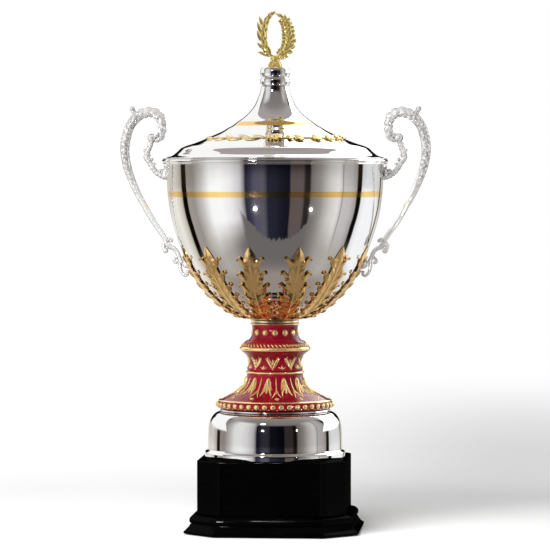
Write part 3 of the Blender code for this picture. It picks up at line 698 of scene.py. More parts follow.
# =============================================================================
# enamelled stem
# =============================================================================
FOOT_RIM = [(64.0, 141.5), (65.4, 142.0), (66.6, 143.2), (67.2, 145.0), (67.2, 146.8), (66.5, 148.4), (65.2, 149.6)]
FOOT_BELL = [(64.2, 150.9), (61.4, 152.0), (56.8, 154.4), (51.6, 157.2), (46.4, 159.8), (42.8, 162.2), (40.1, 164.6),
             (37.6, 167.4), (35.7, 170.4), (34.2, 173.6), (33.1, 176.8), (32.4, 179.4)]
WAIST = [(32.0, 184.2), (32.1, 187.2), (31.0, 189.6), (30.0, 192.4), (29.8, 195.4), (30.4, 198.2), (31.8, 200.9),
         (34.0, 203.4), (36.4, 205.6)]
NECK = [(30.6, 219.9), (28.6, 222.2), (27.4, 224.6), (26.8, 228.0), (26.3, 232.0), (26.6, 235.4)]
bell_line, waist_line, neck_line = (Line(curve(q, 0.6)) for q in (FOOT_BELL, WAIST, NECK))


def on_line(line, azimuth, s, x, h):
    return np.array(line.place(azimuth, s, x, h))


def ridge(line, azimuth, path, width, height_mm, rows=14, sink=0.5, columns=5):
    """A raised rib with a domed section along path [(s, x), ...]; width and height vary with the share of its length."""
    p = curve(path, 10.0)
    t = np.linspace(0, 1, len(p))
    u = np.linspace(0, 1, rows)
    p = np.stack([np.interp(u, t, p[:, 0]), np.interp(u, t, p[:, 1])], 1)
    d = np.gradient(p, axis=0)
    d /= np.linalg.norm(d, axis=1)[:, None]
    top, bottom = [], []
    for i in range(rows):
        w, h = width(u[i]), height_mm(u[i])
        row_t, row_b = [], []
        for j in range(-columns, columns + 1):
            v = j / columns
            q = p[i] + np.array((-d[i][1], d[i][0])) * w * v
            row_t.append(on_line(line, azimuth, q[0], q[1], h * math.sqrt(max(0.0, 1 - v * v)) + 0.02))
            row_b.append(on_line(line, azimuth, q[0], q[1], -sink))
        top.append(row_t)
        bottom.append(row_b)
    return sheet(top, bottom)


def line_ring(profile, segments=192):
    return lathe(profile, segments)[0]


FRONT = -90 + VIEW_AZ     # degrees: the azimuth of the line of sight, used to set the relief's rhythm


def gem(line, azimuth, s, half_round, half_up, proud, rings=9, sides=16):
    """A flattened pearl sunk in a turned surface."""
    r, z, a, b = line.at(s)
    out = np.array((math.cos(azimuth) * b, math.sin(azimuth) * b, -a))
    side = np.array((-math.sin(azimuth), math.cos(azimuth), 0))
    up = np.cross(out, side)
    return ball(on_line(line, azimuth, s, 0, 0), 1.0, rings, sides, (half_round, half_up, proud), (side, up, out))


# foot of the stem: a rim set with gilt beads, and a bell hung with split leaves
foot = Shape()
outline = joined(curve(FOOT_RIM, 0.5), [(64.6, 150.3)], curve(FOOT_BELL, 0.9), [(32.3, 181.4), (4.6, 181.4), (4.6, 177.0),
                 (27.6, 177.0), (36.0, 160.8), (60.0, 147.4), (60.6, 141.5)])
foot.add(lathe(outline, 256)[0], 0)
rim_line = Line(curve(FOOT_RIM, 0.3))
BEADS = 44
for i in range(BEADS):
    a = rad(FRONT - 2.1 + 360.0 * i / BEADS)
    foot.add(gem(rim_line, a, rim_line.where(1, 145.9), 3.15, 2.75, 1.55), 1)
    foot.add(gem(rim_line, a + math.pi / BEADS, rim_line.where(1, 143.0), 0.8, 0.8, 0.8, 6, 8), 1)
foot.add(line_ring([(64.7, 149.7), (65.7, 150.1), (65.5, 151.0), (64.2, 151.5), (63.4, 150.7), (64.0, 149.8)]), 1)
S = bell_line.length


def swell(peak, power=1.0):
    """Width profile that is fullest at the share peak of a rib's length."""
    def f(u):
        t = 0.5 * u / peak if u < peak else 0.5 + 0.5 * (u - peak) / (1 - peak)
        return math.sin(math.pi * min(1.0, t)) ** power
    return f


drop, blade, spike = swell(0.38, 0.8), swell(0.3, 0.8), swell(0.45, 0.9)
for i in range(12):
    a = rad(FRONT - 12.9 + 30.0 * i)
    # a full drop at the top that splits into three tips
    foot.add(ridge(bell_line, a, [(S - 1.4, 0), (S - 6.0, 0.1), (S - 12.5, 0.2)], lambda u: 0.35 + 1.95 * drop(u),
                   lambda u: 0.35 + 1.75 * drop(u), 18, columns=6), 1)
    for side, reach, low in ((-1, 6.6, 29.5), (0, 0.8, 24.0), (1, 6.0, 28.0)):
        foot.add(ridge(bell_line, a, [(S - 8.0, side * 0.9), (S - 15.0, side * 2.2 + 0.2), (S - 22.0, side * reach * 0.72),
                                      (S - low, side * reach)], lambda u: 0.28 + 1.15 * blade(u), lambda u: 0.25 + 1.15 * blade(u),
                       18), 1)
    for side in (-1, 1):
        foot.add(ridge(bell_line, a, [(S - 3.5, side * 1.6), (S - 8.0, side * 2.7), (S - 13.0, side * 3.6), (S - 17.5, side * 5.2)],
                       lambda u: 0.25 + 0.6 * spike(u), lambda u: 0.2 + 0.7 * spike(u), 12, columns=4), 1)
    # a long spike between the drops, with side strokes near the foot and a rosette under it
    b = a + rad(15)
    foot.add(ridge(bell_line, b, [(S - 1.6, 0), (S - 12.0, 0.0), (S - 25.0, 0.2)], lambda u: 0.22 + 0.62 * spike(u),
                   lambda u: 0.2 + 0.95 * spike(u), 16, columns=4), 1)
    for side in (-1, 1):
        foot.add(ridge(bell_line, b, [(S - 18.0, side * 0.8), (S - 26.0, side * 2.6), (S - 33.0, side * 5.6)],
                       lambda u: 0.2 + 0.5 * spike(u), lambda u: 0.2 + 0.55 * spike(u), 12, columns=3), 1)
    for k in range(6):
        t = 2 * math.pi * k / 6
        foot.add(gem(bell_line, b + 1.5 * math.sin(t) / 50.0, S - 36.0 + 1.5 * math.cos(t), 0.9, 0.9, 0.8, 6, 8), 1)
    foot.add(gem(bell_line, b, S - 36.0, 0.9, 0.9, 1.2, 6, 10), 1)
foot.piece("stem_foot_enamelled", [ENAMEL, GILT_STEM], "cup", ["stem_foot"], "red_enamel", 50)

# waist: a gilt ring under a belt of spread acanthus pairs
waist = Shape()
outline = joined([(32.2, 181.7)], curve([(32.2, 181.7), (33.4, 182.0), (33.7, 182.9), (33.3, 183.7), (32.2, 184.0)], 0.3),
                 curve(WAIST, 0.8), [(20.0, 205.6), (20.0, 181.7)])
shell, rows = lathe(outline, 192)
mats = [1 if outline[i][1] < 183.95 and outline[i][0] > 32.15 else 0 for i in rows]
waist.add(shell, mats)
S = waist_line.length
for i in range(9):
    a = rad(FRONT - 4.7 + 40.0 * i)
    for side in (-1, 1):
        waist.add(ridge(waist_line, a, [(4.6, side * 0.5), (9.0, side * 2.6), (13.5, side * 5.4), (16.6, side * 7.6)],
                        lambda u: 0.45 + 1.35 * swell(0.5, 0.8)(u), lambda u: 0.35 + 0.85 * math.sin(math.pi * u), 18, columns=5), 1)
        # serrated edge leaves
        for k in range(4):
            s, x = 7.6 + 2.4 * k, 2.4 + 1.45 * k
            for way in (-1, 1):
                waist.add(ridge(waist_line, a, [(s, side * x), (s + 1.9 + 0.7 * way, side * (x - 0.9 * way * 1.0)),
                                                (s + 3.3 + 0.7 * way, side * (x - 1.9 * way))],
                                lambda u: 0.25 + 0.55 * math.sin(math.pi * min(1, u + 0.2)), lambda u: 0.25 + 0.65 * math.sin(math.pi * u),
                                7, columns=3), 1)
    waist.add(ridge(waist_line, a, [(8.6, 0), (12.0, 0), (15.4, 0)], lambda u: 0.3 + 0.8 * math.sin(math.pi * u),
                    lambda u: 0.3 + 0.8 * math.sin(math.pi * u), 10), 1)
    waist.add(gem(waist_line, a, 3.4, 1.0, 1.2, 1.1, 7, 10), 1)
    b = a + rad(20)
    waist.add(ridge(waist_line, b, [(3.0, 0), (5.4, 0), (8.4, 0)], lambda u: 0.3 + 1.0 * math.sin(math.pi * u),
                    lambda u: 0.3 + 0.9 * math.sin(math.pi * u), 10), 1)
    for side in (-1, 1):
        waist.add(ridge(waist_line, b, [(3.4, side * 0.6), (5.0, side * 2.4), (5.8, side * 4.2)],
                        lambda u: 0.25 + 0.5 * math.sin(math.pi * u), lambda u: 0.25 + 0.5 * math.sin(math.pi * u), 8, columns=3), 1)
waist.piece("stem_waist_enamelled", [ENAMEL, GILT_STEM], "cup", ["stem_waist"], "red_enamel", 50)

# knop: gilt edge with a slanted rope above it
knop = Shape()
KNOP_LOW = [(37.0, 205.9), (38.6, 207.0), (39.8, 208.3)]
KNOP_TOP = [(39.4, 212.4), (38.4, 213.6), (37.4, 214.6), (36.2, 215.8), (35.8, 217.0), (34.4, 218.4), (32.4, 219.6)]
edge = curve([(39.8, 208.3), (40.6, 209.2), (40.9, 210.4), (40.5, 211.6), (39.4, 212.4)], 0.4)
outline = joined(curve(KNOP_LOW, 0.6), edge, curve(KNOP_TOP, 0.6), [(20.0, 219.6), (20.0, 205.9)])
shell, rows = lathe(outline, 192)
mats = [1 if 208.2 < (outline[i][1] + outline[(i + 1) % len(outline)][1]) / 2 < 212.5 and outline[i][0] > 39 else 0
        for i in rows]
knop.add(shell, mats)
knop_line = Line(curve(KNOP_TOP, 0.5))
ROPES = 52
for i in range(ROPES):
    a = 2 * math.pi * i / ROPES
    knop.add(ridge(knop_line, a, [(0.9, 1.7), (3.0, 0.0), (5.1, -1.7)], lambda u: 0.4 + 0.55 * math.sin(math.pi * u),
                   lambda u: 0.3 + 0.95 * math.sin(math.pi * u), 10, columns=4), 1)
knop.piece("stem_knop_enamelled", [ENAMEL, GILT_STEM], "cup", ["stem_knop"], "red_enamel", 50)

# neck: fourteen gilt pearls
neck = Shape()
outline = joined(curve(NECK, 0.7), [(26.9, 237.3), (18.0, 237.3), (18.0, 219.9)])
neck.add(lathe(outline, 192)[0], 0)
for i in range(14):
    a = rad(FRONT + 360.0 * i / 14)
    s = neck_line.where(1, 229.2)
    neck.add(gem(neck_line, a, s, 3.0, 3.1, 1.5, 11, 18), 1)
    for j in range(10):
        t = 2 * math.pi * j / 10
        neck.add(gem(neck_line, a + 3.4 * math.sin(t) / 26.8, s + 3.5 * math.cos(t), 0.5, 0.5, 0.5, 5, 7), 1)
neck.piece("stem_neck_enamelled", [ENAMEL, GILT_STEM], "cup", ["stem_neck"], "red_enamel", 50)

outline = joined([(4.6, 237.6), (26.2, 237.6)], curve([(26.2, 237.6), (27.8, 237.9), (28.4, 238.8), (27.8, 239.7),
                 (26.2, 240.0)], 0.3), [(4.6, 240.0)])
Shape().add(lathe(outline, 160)[0]).piece("collar_lip_gilt", [GILT_EDGE], "cup", ["collar_lip"], "gilt")
outline = joined([(4.6, 240.3), (26.0, 240.3)], curve([(26.0, 240.3), (27.2, 240.7), (27.6, 241.8), (27.2, 242.9),
                 (26.0, 243.3)], 0.3), [(4.6, 243.3)])
Shape().add(lathe(outline, 160)[0]).piece("neck_collar_polished", [SILVER], "cup", ["neck_collar"], "silver_plate")

# =============================================================================
# leaf calyx under the bowl
# =============================================================================
calyx = Shape()
outline = joined([(4.6, 243.9), (29.6, 243.9)], curve([(29.6, 243.9), (30.8, 244.2), (30.9, 244.8), (30.2, 245.1)], 0.3),
                 [(4.6, 245.1)])
calyx.add(lathe(outline, 160)[0])
s0, s1 = bowl_line.where(0, 27.4), bowl_line.where(1, 330.0)
LEN = s1 - s0
TEETH = [(bowl_line.where(1, z) - s0) / LEN for z in (317.0, 300.5, 287.0, 275.0, 264.6, 256.0, 250.3)]


def leaf_half(u):
    """Half width of the leaf's solid middle: bushy low down, a waist under the pointed tip."""
    return float(np.interp(u, [0, 0.06, 0.14, 0.26, 0.40, 0.54, 0.66, 0.76, 0.81, 0.85, 0.88, 0.92, 0.96, 0.985, 1.0],
                           [6.2, 8.2, 9.6, 10.4, 10.8, 10.6, 9.8, 8.6, 7.8, 8.2, 8.0, 6.1, 3.3, 1.5, 0.3]))


def leaf_lift(u):
    """Height of the leaf off the bowl: the tip stands off, then rolls back down to it."""
    return 0.40 + 0.6 * smooth(u / 0.1) - 0.2 * u + 1.0 * smooth((u - 0.80) / 0.1) - 1.2 * smooth((u - 0.90) / 0.11)


def ribbon(azimuth, path, half, height_at, thick=0.34, c=4):
    """A narrow sheet laid along path [(s, x), ...] on the bowl; height_at(share, v) is its height."""
    d = np.gradient(path, axis=0)
    d /= np.linalg.norm(d, axis=1)[:, None]
    n = len(path) - 1
    top, bottom = [], []
    for i, q in enumerate(path):
        a = i / n
        rt, rb = [], []
        for j in range(-c, c + 1):
            v = j / c
            p = q + np.array((-d[i][1], d[i][0])) * half(a) * v
            hh = height_at(a, v)
            rt.append(on_line(bowl_line, azimuth, p[0], p[1], hh + thick))
            rb.append(on_line(bowl_line, azimuth, p[0], p[1], max(0.12, hh - thick)))
        top.append(rt)
        bottom.append(rb)
    return sheet(top, bottom)


def calyx_leaf(azimuth, seed):
    rnd = random.Random(seed)
    rows, cols = 120, 12
    top, bottom = [], []
    for i in range(rows + 1):
        u = i / rows
        w = leaf_half(u)
        # small bays between the lobes
        near = min(abs(u - t + 0.055) for t in TEETH)
        w *= 1 - 0.10 * math.exp(-(near / 0.022) ** 2) * smooth((0.84 - u) / 0.05)
        tip = smooth((u - 0.84) / 0.05)
        rt, rb = [], []
        for j in range(-cols, cols + 1):
            v = j / cols
            rib = 0.8 * math.exp(-(v * w / 1.1) ** 2) * (1 - 0.9 * u)
            wave = u * LEN / 12.5 - abs(v) * 0.8
            fold = 0.40 * math.cos(2 * math.pi * wave) * abs(v) * (1 - abs(v) ** 6) * smooth((0.84 - u) / 0.08)
            crisp = 0.20 * math.cos(2 * math.pi * (u * LEN / 4.1 - abs(v) * 1.6)) * abs(v) * (1 - 0.85 * u)
            dish = 0.6 * abs(v) ** 2.4 * (1 - tip)
            roof = -0.34 * w * max(0.0, abs(v) - 0.25) * tip
            h = leaf_lift(u) + rib + fold + crisp + dish + roof
            s = s0 + LEN * u + 1.2 * abs(v) * (1 - u)
            rt.append(on_line(bowl_line, azimuth, s, v * w, max(0.75, h + 0.45)))
            rb.append(on_line(bowl_line, azimuth, s, v * w, max(0.2, min(0.5, h - 0.3))))
        top.append(rt)
        bottom.append(rb)
    calyx.add(sheet(top, bottom))
    # lobes in pairs: each runs up the edge of the leaf, then its end curls outward and down
    for k, u_tip in enumerate(TEETH):
        size = (0.95, 1.05, 1.05, 1.0, 0.92, 0.80, 0.62)[k]
        for side in (-1, 1):
            tip_s = s0 + LEN * u_tip + rnd.uniform(-0.5, 0.5)
            out = (12.6, 14.4, 14.6, 14.0, 12.6, 10.2, 8.0)[k] + rnd.uniform(-0.3, 0.3)
            path = curve([(tip_s - 12.5 * size, side * (out - 7.6 * size)), (tip_s - 6.0 * size, side * (out - 3.6 * size)),
                          (tip_s - 2.0 * size, side * (out - 1.5 * size)), (tip_s - 0.3 * size, side * (out - 0.1)),
                          (tip_s - 0.4 * size, side * (out + 1.5 * size)), (tip_s - 1.7 * size, side * (out + 2.4 * size)),
                          (tip_s - 3.0 * size, side * (out + 2.2 * size))], 0.7)

            def half(a, size=size):
                w = 2.8 * size * (1 - 0.48 * smooth((a - 0.25) / 0.6))
                return w * math.sqrt(max(0.02, 1 - max(0.0, (a - 0.9) / 0.1) ** 2))

            base_h = leaf_lift(max(0.0, min(0.78, u_tip - 0.05))) + 0.3

            def height_at(a, v, side=side, base_h=base_h):
                # v = side is the upper, outer rim of the curl: it stands proud, the other edge dips
                rim = v * -side
                stand = 0.95 * smooth((a - 0.15) / 0.4) - 0.9 * smooth((a - 0.82) / 0.18)
                return base_h + stand + 0.75 * rim * smooth((a - 0.1) / 0.3) + 0.35 * (1 - v * v)

            calyx.add(ribbon(azimuth, path, half, height_at))


for n in range(12):
    calyx_leaf(rad(-11.0 + 30 * n), n)
calyx.piece("calyx_gilt", [GILT_LEAF], "cup", ["leaf_calyx"], "gilt", 60)

# =============================================================================
# handles
# =============================================================================
ARM = [(140.6, 452.0, 2.2, 2.8), (136.8, 451.4, 3.2, 3.4), (133.6, 454.0, 4.0, 4.2), (131.5, 460.7, 4.5, 4.8),
       (131.4, 470.0, 4.8, 5.3), (134.0, 477.6, 5.2, 5.7), (140.9, 482.6, 5.5, 5.7), (149.4, 483.0, 5.6, 5.7),
       (158.0, 479.4, 5.7, 5.7), (165.0, 472.4, 5.7, 5.7), (170.3, 462.4, 5.6, 5.7), (173.6, 450.8, 5.4, 5.6),
       (174.6, 439.3, 5.1, 5.5), (173.4, 427.7, 4.9, 5.3), (170.4, 415.6, 4.6, 5.1), (166.0, 403.4, 4.1, 4.8),
       (159.2, 388.4, 3.6, 4.3), (150.5, 372.8, 3.3, 3.9), (140.7, 356.0, 3.1, 3.5), (132.0, 343.3, 2.9, 3.3),
       (126.8, 335.6, 2.7, 3.0)]
FOOT = [(128.2, 338.0, 2.2, 2.4), (126.0, 331.4, 2.7, 2.7), (122.6, 327.6, 2.6, 2.7), (118.0, 325.8, 2.4, 2.6),
        (113.9, 321.4, 2.4, 2.6), (111.4, 315.0, 2.4, 2.6), (108.8, 309.4, 2.5, 2.8)]
rnd = random.Random(21)
GROUND = np.array([[rnd.uniform(-1, 1) for _ in range(24)] for _ in range(160)])


def hammered(s, t, cell=2.3):
    """Smooth seeded lumps over distance s and the angle t round a rod."""
    a, b = s / cell, (t / (2 * math.pi)) * 14
    i, j = int(math.floor(a)), int(math.floor(b))
    fa, fb = smooth(a - i), smooth(b - j)

    def g(p, q):
        return GROUND[p % 160, q % 14]

    return ((1 - fa) * ((1 - fb) * g(i, j) + fb * g(i, j + 1)) + fa * ((1 - fb) * g(i + 1, j) + fb * g(i + 1, j + 1)))


def lens(t, power=1.3):
    """Radius scale that turns an oval section into a soft-edged four-sided one."""
    return (abs(math.cos(t)) ** power + abs(math.sin(t)) ** power) ** (-1 / power)


def handle(name, node, turn):
    h = Shape()
    p = curve(ARM, 0.62)
    total = len(p)
    d = np.gradient(p[:, :2], axis=0)
    seg = np.linalg.norm(np.diff(p[:, :2], axis=0), axis=1)
    along = np.concatenate([[0], np.cumsum(seg)])
    length = along[-1]
    d /= np.linalg.norm(d, axis=1)[:, None]

    def relief(i, t):
        # cos(t) = 1 is the outer, convex edge of the arm; the smooth rail runs along the inner edge
        s = along[i] / length
        edge = np.interp(s, [0, 0.08, 0.25, 0.50, 0.60, 0.72, 0.78, 0.80], [-1.3, -1.3, -1.3, -0.42, -0.25, 0.3, 0.9, 2.5])
        chased = smooth(s / 0.04) * smooth((math.cos(t) - edge) / 0.25)
        lumps = 0.85 * hammered(along[i], t, 2.0) + 0.6 * hammered(along[i] + 41.0, t + 0.7, 3.6)
        curl = 1 - smooth((s - 0.24) / 0.08)
        scallop = curl * (abs(math.sin(math.pi * along[i] / 7.6 + 0.9 * math.cos(t))) - 0.6)
        chased *= 1 - (1 - curl) * smooth((abs(math.cos(t)) - 0.66) / 0.18)
        rail = smooth((s - 0.2) / 0.15)
        groove = -0.13 * math.exp(-((math.cos(t) - (edge if s < 0.74 else 0.12)) / 0.13) ** 2) * rail
        groove -= (1 - curl) * 0.10 * math.exp(-((math.cos(t) - 0.70) / 0.12) ** 2) * (1 - smooth((s - 0.62) / 0.12))
        facet = lens(t)
        deep = p[i, 2]
        return facet * (1 + chased * ((0.70 - 0.40 * curl) * lumps + 1.3 * scallop - 0.1) / deep + groove)

    h.add(tube([(q[0], 0, q[1]) for q in p], [(-t[1], 0, t[0]) for t in d], [(0, 1, 0)] * total, p[:, 2], p[:, 3] * 0.86,
               44, relief))

    def leaf_on_face(x, z, heading, long, wide, level, curl=0.9):
        """A chased leaf lying on both faces of the casting."""
        for face in (-1, 1):
            t = np.array((math.cos(heading), 0, math.sin(heading)))
            across = np.array((-t[2], 0, t[0]))
            out = np.array((0, face, 0.0))
            top, bottom = [], []
            for i in range(15):
                a = i / 14
                w = wide * math.sin(math.pi * min(1.0, a * 0.92 + 0.06) ** 0.85) ** 0.8 * (0.8 + 0.25 * abs(math.sin(3 * math.pi * a)))
                rt, rb = [], []
                for j in range(-4, 5):
                    v = j / 4
                    hump = 0.9 * math.sin(math.pi * a) + curl * a * a - 0.8 * v * v + 0.3 * math.exp(-(3.5 * v) ** 2)
                    q = np.array((x, 0, z)) + t * long * a + across * (v * max(w, 0.2)) + out * (level + hump)
                    rt.append(q)
                    rb.append(q - out * (hump + 1.6))
                top.append(rt)
                bottom.append(rb)
            h.add(sheet(top, bottom))

    # leaves on the faces of the curl and where the arm meets the spur
    for x, z, heading, long, wide, level in ((133.4, 458.0, 98, 9.5, 3.0, 3.2), (131.0, 467.0, 82, 10.0, 3.4, 3.6),
                                             (134.6, 476.0, 42, 10.0, 3.4, 3.8), (143.0, 481.6, 8, 9.0, 2.8, 4.0),
                                             (163.2, 474.0, -50, 9.0, 3.0, 4.0), (140.4, 455.0, 148, 7.0, 2.6, 3.2)):
        leaf_on_face(x, z, rad(heading), long, wide, level)
    # the curl ends in a ball
    h.add(ball((143.0, 0, 453.4), 1.0, 16, 24, (4.9, 4.9, 5.2), ((1, 0, 0), (0, 0, 1), (0, 1, 0))))
    for face in (-1, 1):
        h.add(ball((143.0, face * 4.9, 453.4), 1.5, 8, 12))
    # spur at the shoulder, with a rounded end
    h.add(flat_tube([(160.0, 475.6, 3.2, 3.6), (162.2, 480.0, 2.9, 3.2), (164.4, 484.0, 2.5, 2.8), (165.6, 486.2, 2.4, 2.6)],
                    0.5, 16))
    h.add(ball((165.9, 0, 486.9), 2.9, 12, 18))
    h.add(ball((161.6, 0, 479.0), 2.9, 10, 16, (1.0, 1.25, 0.7), ((0.88, 0, -0.47), (0, 1, 0), (0.47, 0, 0.88))))
    # lower limb from the ball to the rim
    limb = [(143.2, 450.0, 2.4, 3.0), (145.6, 443.4, 2.9, 3.3), (148.8, 435.6, 3.1, 3.5), (148.6, 429.2, 3.0, 3.4),
            (145.2, 424.4, 2.9, 3.3), (142.4, 419.4, 2.8, 3.2), (138.2, 414.0, 2.8, 3.2), (132.6, 410.2, 2.9, 3.4),
            (127.4, 408.4, 3.2, 4.0)]

    def ripple(i, t):
        return lens(t, 1.4) * (1 + 0.10 * math.sin(2 * math.pi * i / 7.0) + 0.05 * hammered(i * 1.1, t))

    h.add(flat_tube(limb, 0.6, 28, ripple))
    # overlapping leaf scales down the limb
    for x, z, heading, long, wide, level in ((143.4, 449.6, -62, 8.0, 2.5, 1.7), (147.4, 440.8, -74, 8.5, 2.6, 1.9),
                                             (148.9, 432.0, -112, 8.0, 2.5, 1.9), (144.4, 423.0, -118, 7.5, 2.4, 1.8)):
        leaf_on_face(x, z, rad(heading), long, wide, level, 1.1)
    for x, z, r in ((150.9, 439.0, 1.9), (146.6, 446.6, 1.9), (151.2, 431.4, 1.7), (143.0, 428.6, 1.8), (146.0, 433.6, 1.5)):
        h.add(ball((x, 0, z), r, 8, 14, (1, 1.3, 1)))
    # outer horn at the elbow, and the curl inside it
    h.add(flat_tube([(142.6, 418.6, 2.0, 2.4), (142.2, 421.6, 1.6, 2.0), (140.2, 423.8, 1.2, 1.6), (138.2, 423.4, 0.8, 1.2)],
                    0.4, 14))
    h.add(flat_tube([(135.0, 411.6, 2.0, 2.6), (134.0, 415.0, 1.6, 2.2), (131.4, 416.4, 1.3, 1.8), (129.8, 414.6, 1.1, 1.5)],
                    0.4, 14))
    h.add(ball((130.6, 0, 414.6), 1.4, 8, 12))
    # pads dished to the bowl; the upper one runs up into a horn
    for z, high, wide in ((412.4, 7.6, 4.9), (308.4, 6.6, 4.4)):
        s = bowl_line.where(1, z)
        rows = []
        for level, share in ((-0.3, 0.96), (1.0, 1.0), (2.2, 0.86), (3.4, 0.62), (4.6, 0.5)):
            rows.append([on_line(bowl_line, 0.0, s + high * share * math.cos(t), wide * share * math.sin(t),
                                 0.45 + max(0.0, level)) for t in (2 * math.pi * k / 28 for k in range(28))])
        verts = [q for row in rows for q in row]
        faces = [(i * 28 + k, i * 28 + (k + 1) % 28, (i + 1) * 28 + (k + 1) % 28, (i + 1) * 28 + k)
                 for i in range(len(rows) - 1) for k in range(28)]
        faces += [tuple(range(27, -1, -1)), tuple(range((len(rows) - 1) * 28, len(rows) * 28))]
        h.add((verts, faces))
    h.add(flat_tube([(128.2, 411.0, 1.6, 3.0), (128.2, 415.6, 1.5, 2.4), (128.3, 419.2, 1.1, 1.8), (128.8, 421.6, 0.6, 1.0)],
                    0.5, 14))
    # foot: a collar of leaves, then a scroll down the bowl
    h.add(flat_tube(FOOT, 0.5, 22, lambda i, t: lens(t, 1.4)))
    h.add(flat_tube([(127.0, 334.0, 2.4, 2.6), (128.6, 330.4, 2.3, 2.5), (129.4, 327.0, 2.0, 2.3), (128.4, 324.4, 1.8, 2.2)],
                    0.5, 16))
    h.add(ball((127.2, 0, 323.2), 1.0, 12, 18, (3.1, 3.3, 3.0)))
    h.add(ball((130.4, 0, 329.4), 1.9, 8, 14))
    h.add(ball((129.8, 0, 325.6), 1.6, 8, 14))
    h.add(flat_tube([(124.6, 334.6, 2.3, 2.5), (122.4, 336.6, 1.7, 2.1), (120.2, 336.0, 1.2, 1.6)], 0.5, 14))
    h.add(ball((120.4, 0, 334.8), 2.1, 10, 16))
    h.add(flat_tube([(112.2, 316.6, 2.0, 2.4), (115.4, 314.6, 1.7, 2.1), (117.6, 311.6, 1.5, 1.9), (116.0, 308.8, 1.4, 1.7)],
                    0.4, 14))
    h.add(ball((114.9, 0, 309.4), 1.9, 8, 14))
    leaf_on_face(125.6, 333.0, rad(-128), 9.0, 2.4, 1.2, 0.6)
    tail = [(108.6, 309.4, 2.4, 2.8), (109.0, 304.8, 2.2, 2.6), (108.0, 300.6, 1.8, 2.2), (105.6, 296.4, 1.6, 2.0),
            (102.4, 294.2, 1.5, 1.9), (100.0, 295.6, 1.4, 1.8), (100.2, 298.6, 1.3, 1.7)]
    tail = [(x + 1.4, z, a, b) for x, z, a, b in tail]
    h.add(flat_tube(tail, 0.4, 16))
    h.add(ball((101.8, 0, 298.6), 1.8, 8, 14))
    m = Matrix.Rotation(turn, 4, "Z")
    return h.piece(name, [SILVER_CAST], "cup", [node], "silver_plate", 62, m)


handle("handle_right_cast", "handle_right", 0.0)
handle("handle_left_cast", "handle_left", math.pi)

# =============================================================================
# leaf sprays on the lid
# =============================================================================
spray_mid = dome_line.where(0, 80.0)


def small_leaf(shape, line, azimuth, root, direction, length, wide, lobes=0, lift=0.55, arch=0.8, rows=12, cols=4, bend=0.0):
    """A leaf laid on a turned surface from root (s, x) along direction (radians from uphill, towards +x)."""
    top, bottom = [], []
    q0 = np.array(root, float)
    for i in range(rows + 1):
        a = i / rows
        turn = direction + bend * a
        along = np.array((math.cos(turn), math.sin(turn)))
        across = np.array((-along[1], along[0]))
        if i:
            q0 = q0 + along * length / rows
        w = wide * math.sin(math.pi * min(1.0, (a * 0.94 + 0.04)) ** 0.85) ** 0.9
        if lobes:
            w *= 0.70 + 0.44 * abs(math.sin(math.pi * lobes * a)) ** 0.7
        w = max(w, 0.18)
        rt, rb = [], []
        for j in range(-cols, cols + 1):
            v = j / cols
            q = q0 + across * v * w
            rib = 0.35 * math.exp(-(v * 3.0) ** 2)
            h = lift + arch * math.sin(math.pi * a) * 0.8 + 0.4 * abs(v) ** 2 + rib
            rt.append(on_line(line, azimuth, q[0], q[1], h + 0.4))
            rb.append(on_line(line, azimuth, q[0], q[1], max(0.08, h - 0.15)))
        top.append(rt)
        bottom.append(rb)
    shape.add(sheet(top, bottom))


def stem_on_dome(shape, middle, path, half, height_mm):
    """A thin wandering stem; path gives (s, angle in degrees from the middle)."""
    p = curve([(s, a * 0.8) for s, a in path], 1.6)
    d = np.gradient(p, axis=0)
    d /= np.linalg.norm(d, axis=1)[:, None]
    top, bottom = [], []
    for i, q in enumerate(p):
        w = half * (1 - 0.45 * i / len(p))
        rt, rb = [], []
        for j in range(-3, 4):
            v = j / 3
            e = q + np.array((-d[i][1], d[i][0])) * w * v
            az = middle + rad(e[1] / 0.8)
            rt.append(on_line(dome_line, az, e[0], 0, 0.45 + height_mm * math.sqrt(1 - v * v * 0.98)))
            rb.append(on_line(dome_line, az, e[0], 0, 0.06))
        top.append(rt)
        bottom.append(rb)
    shape.add(sheet(top, bottom))


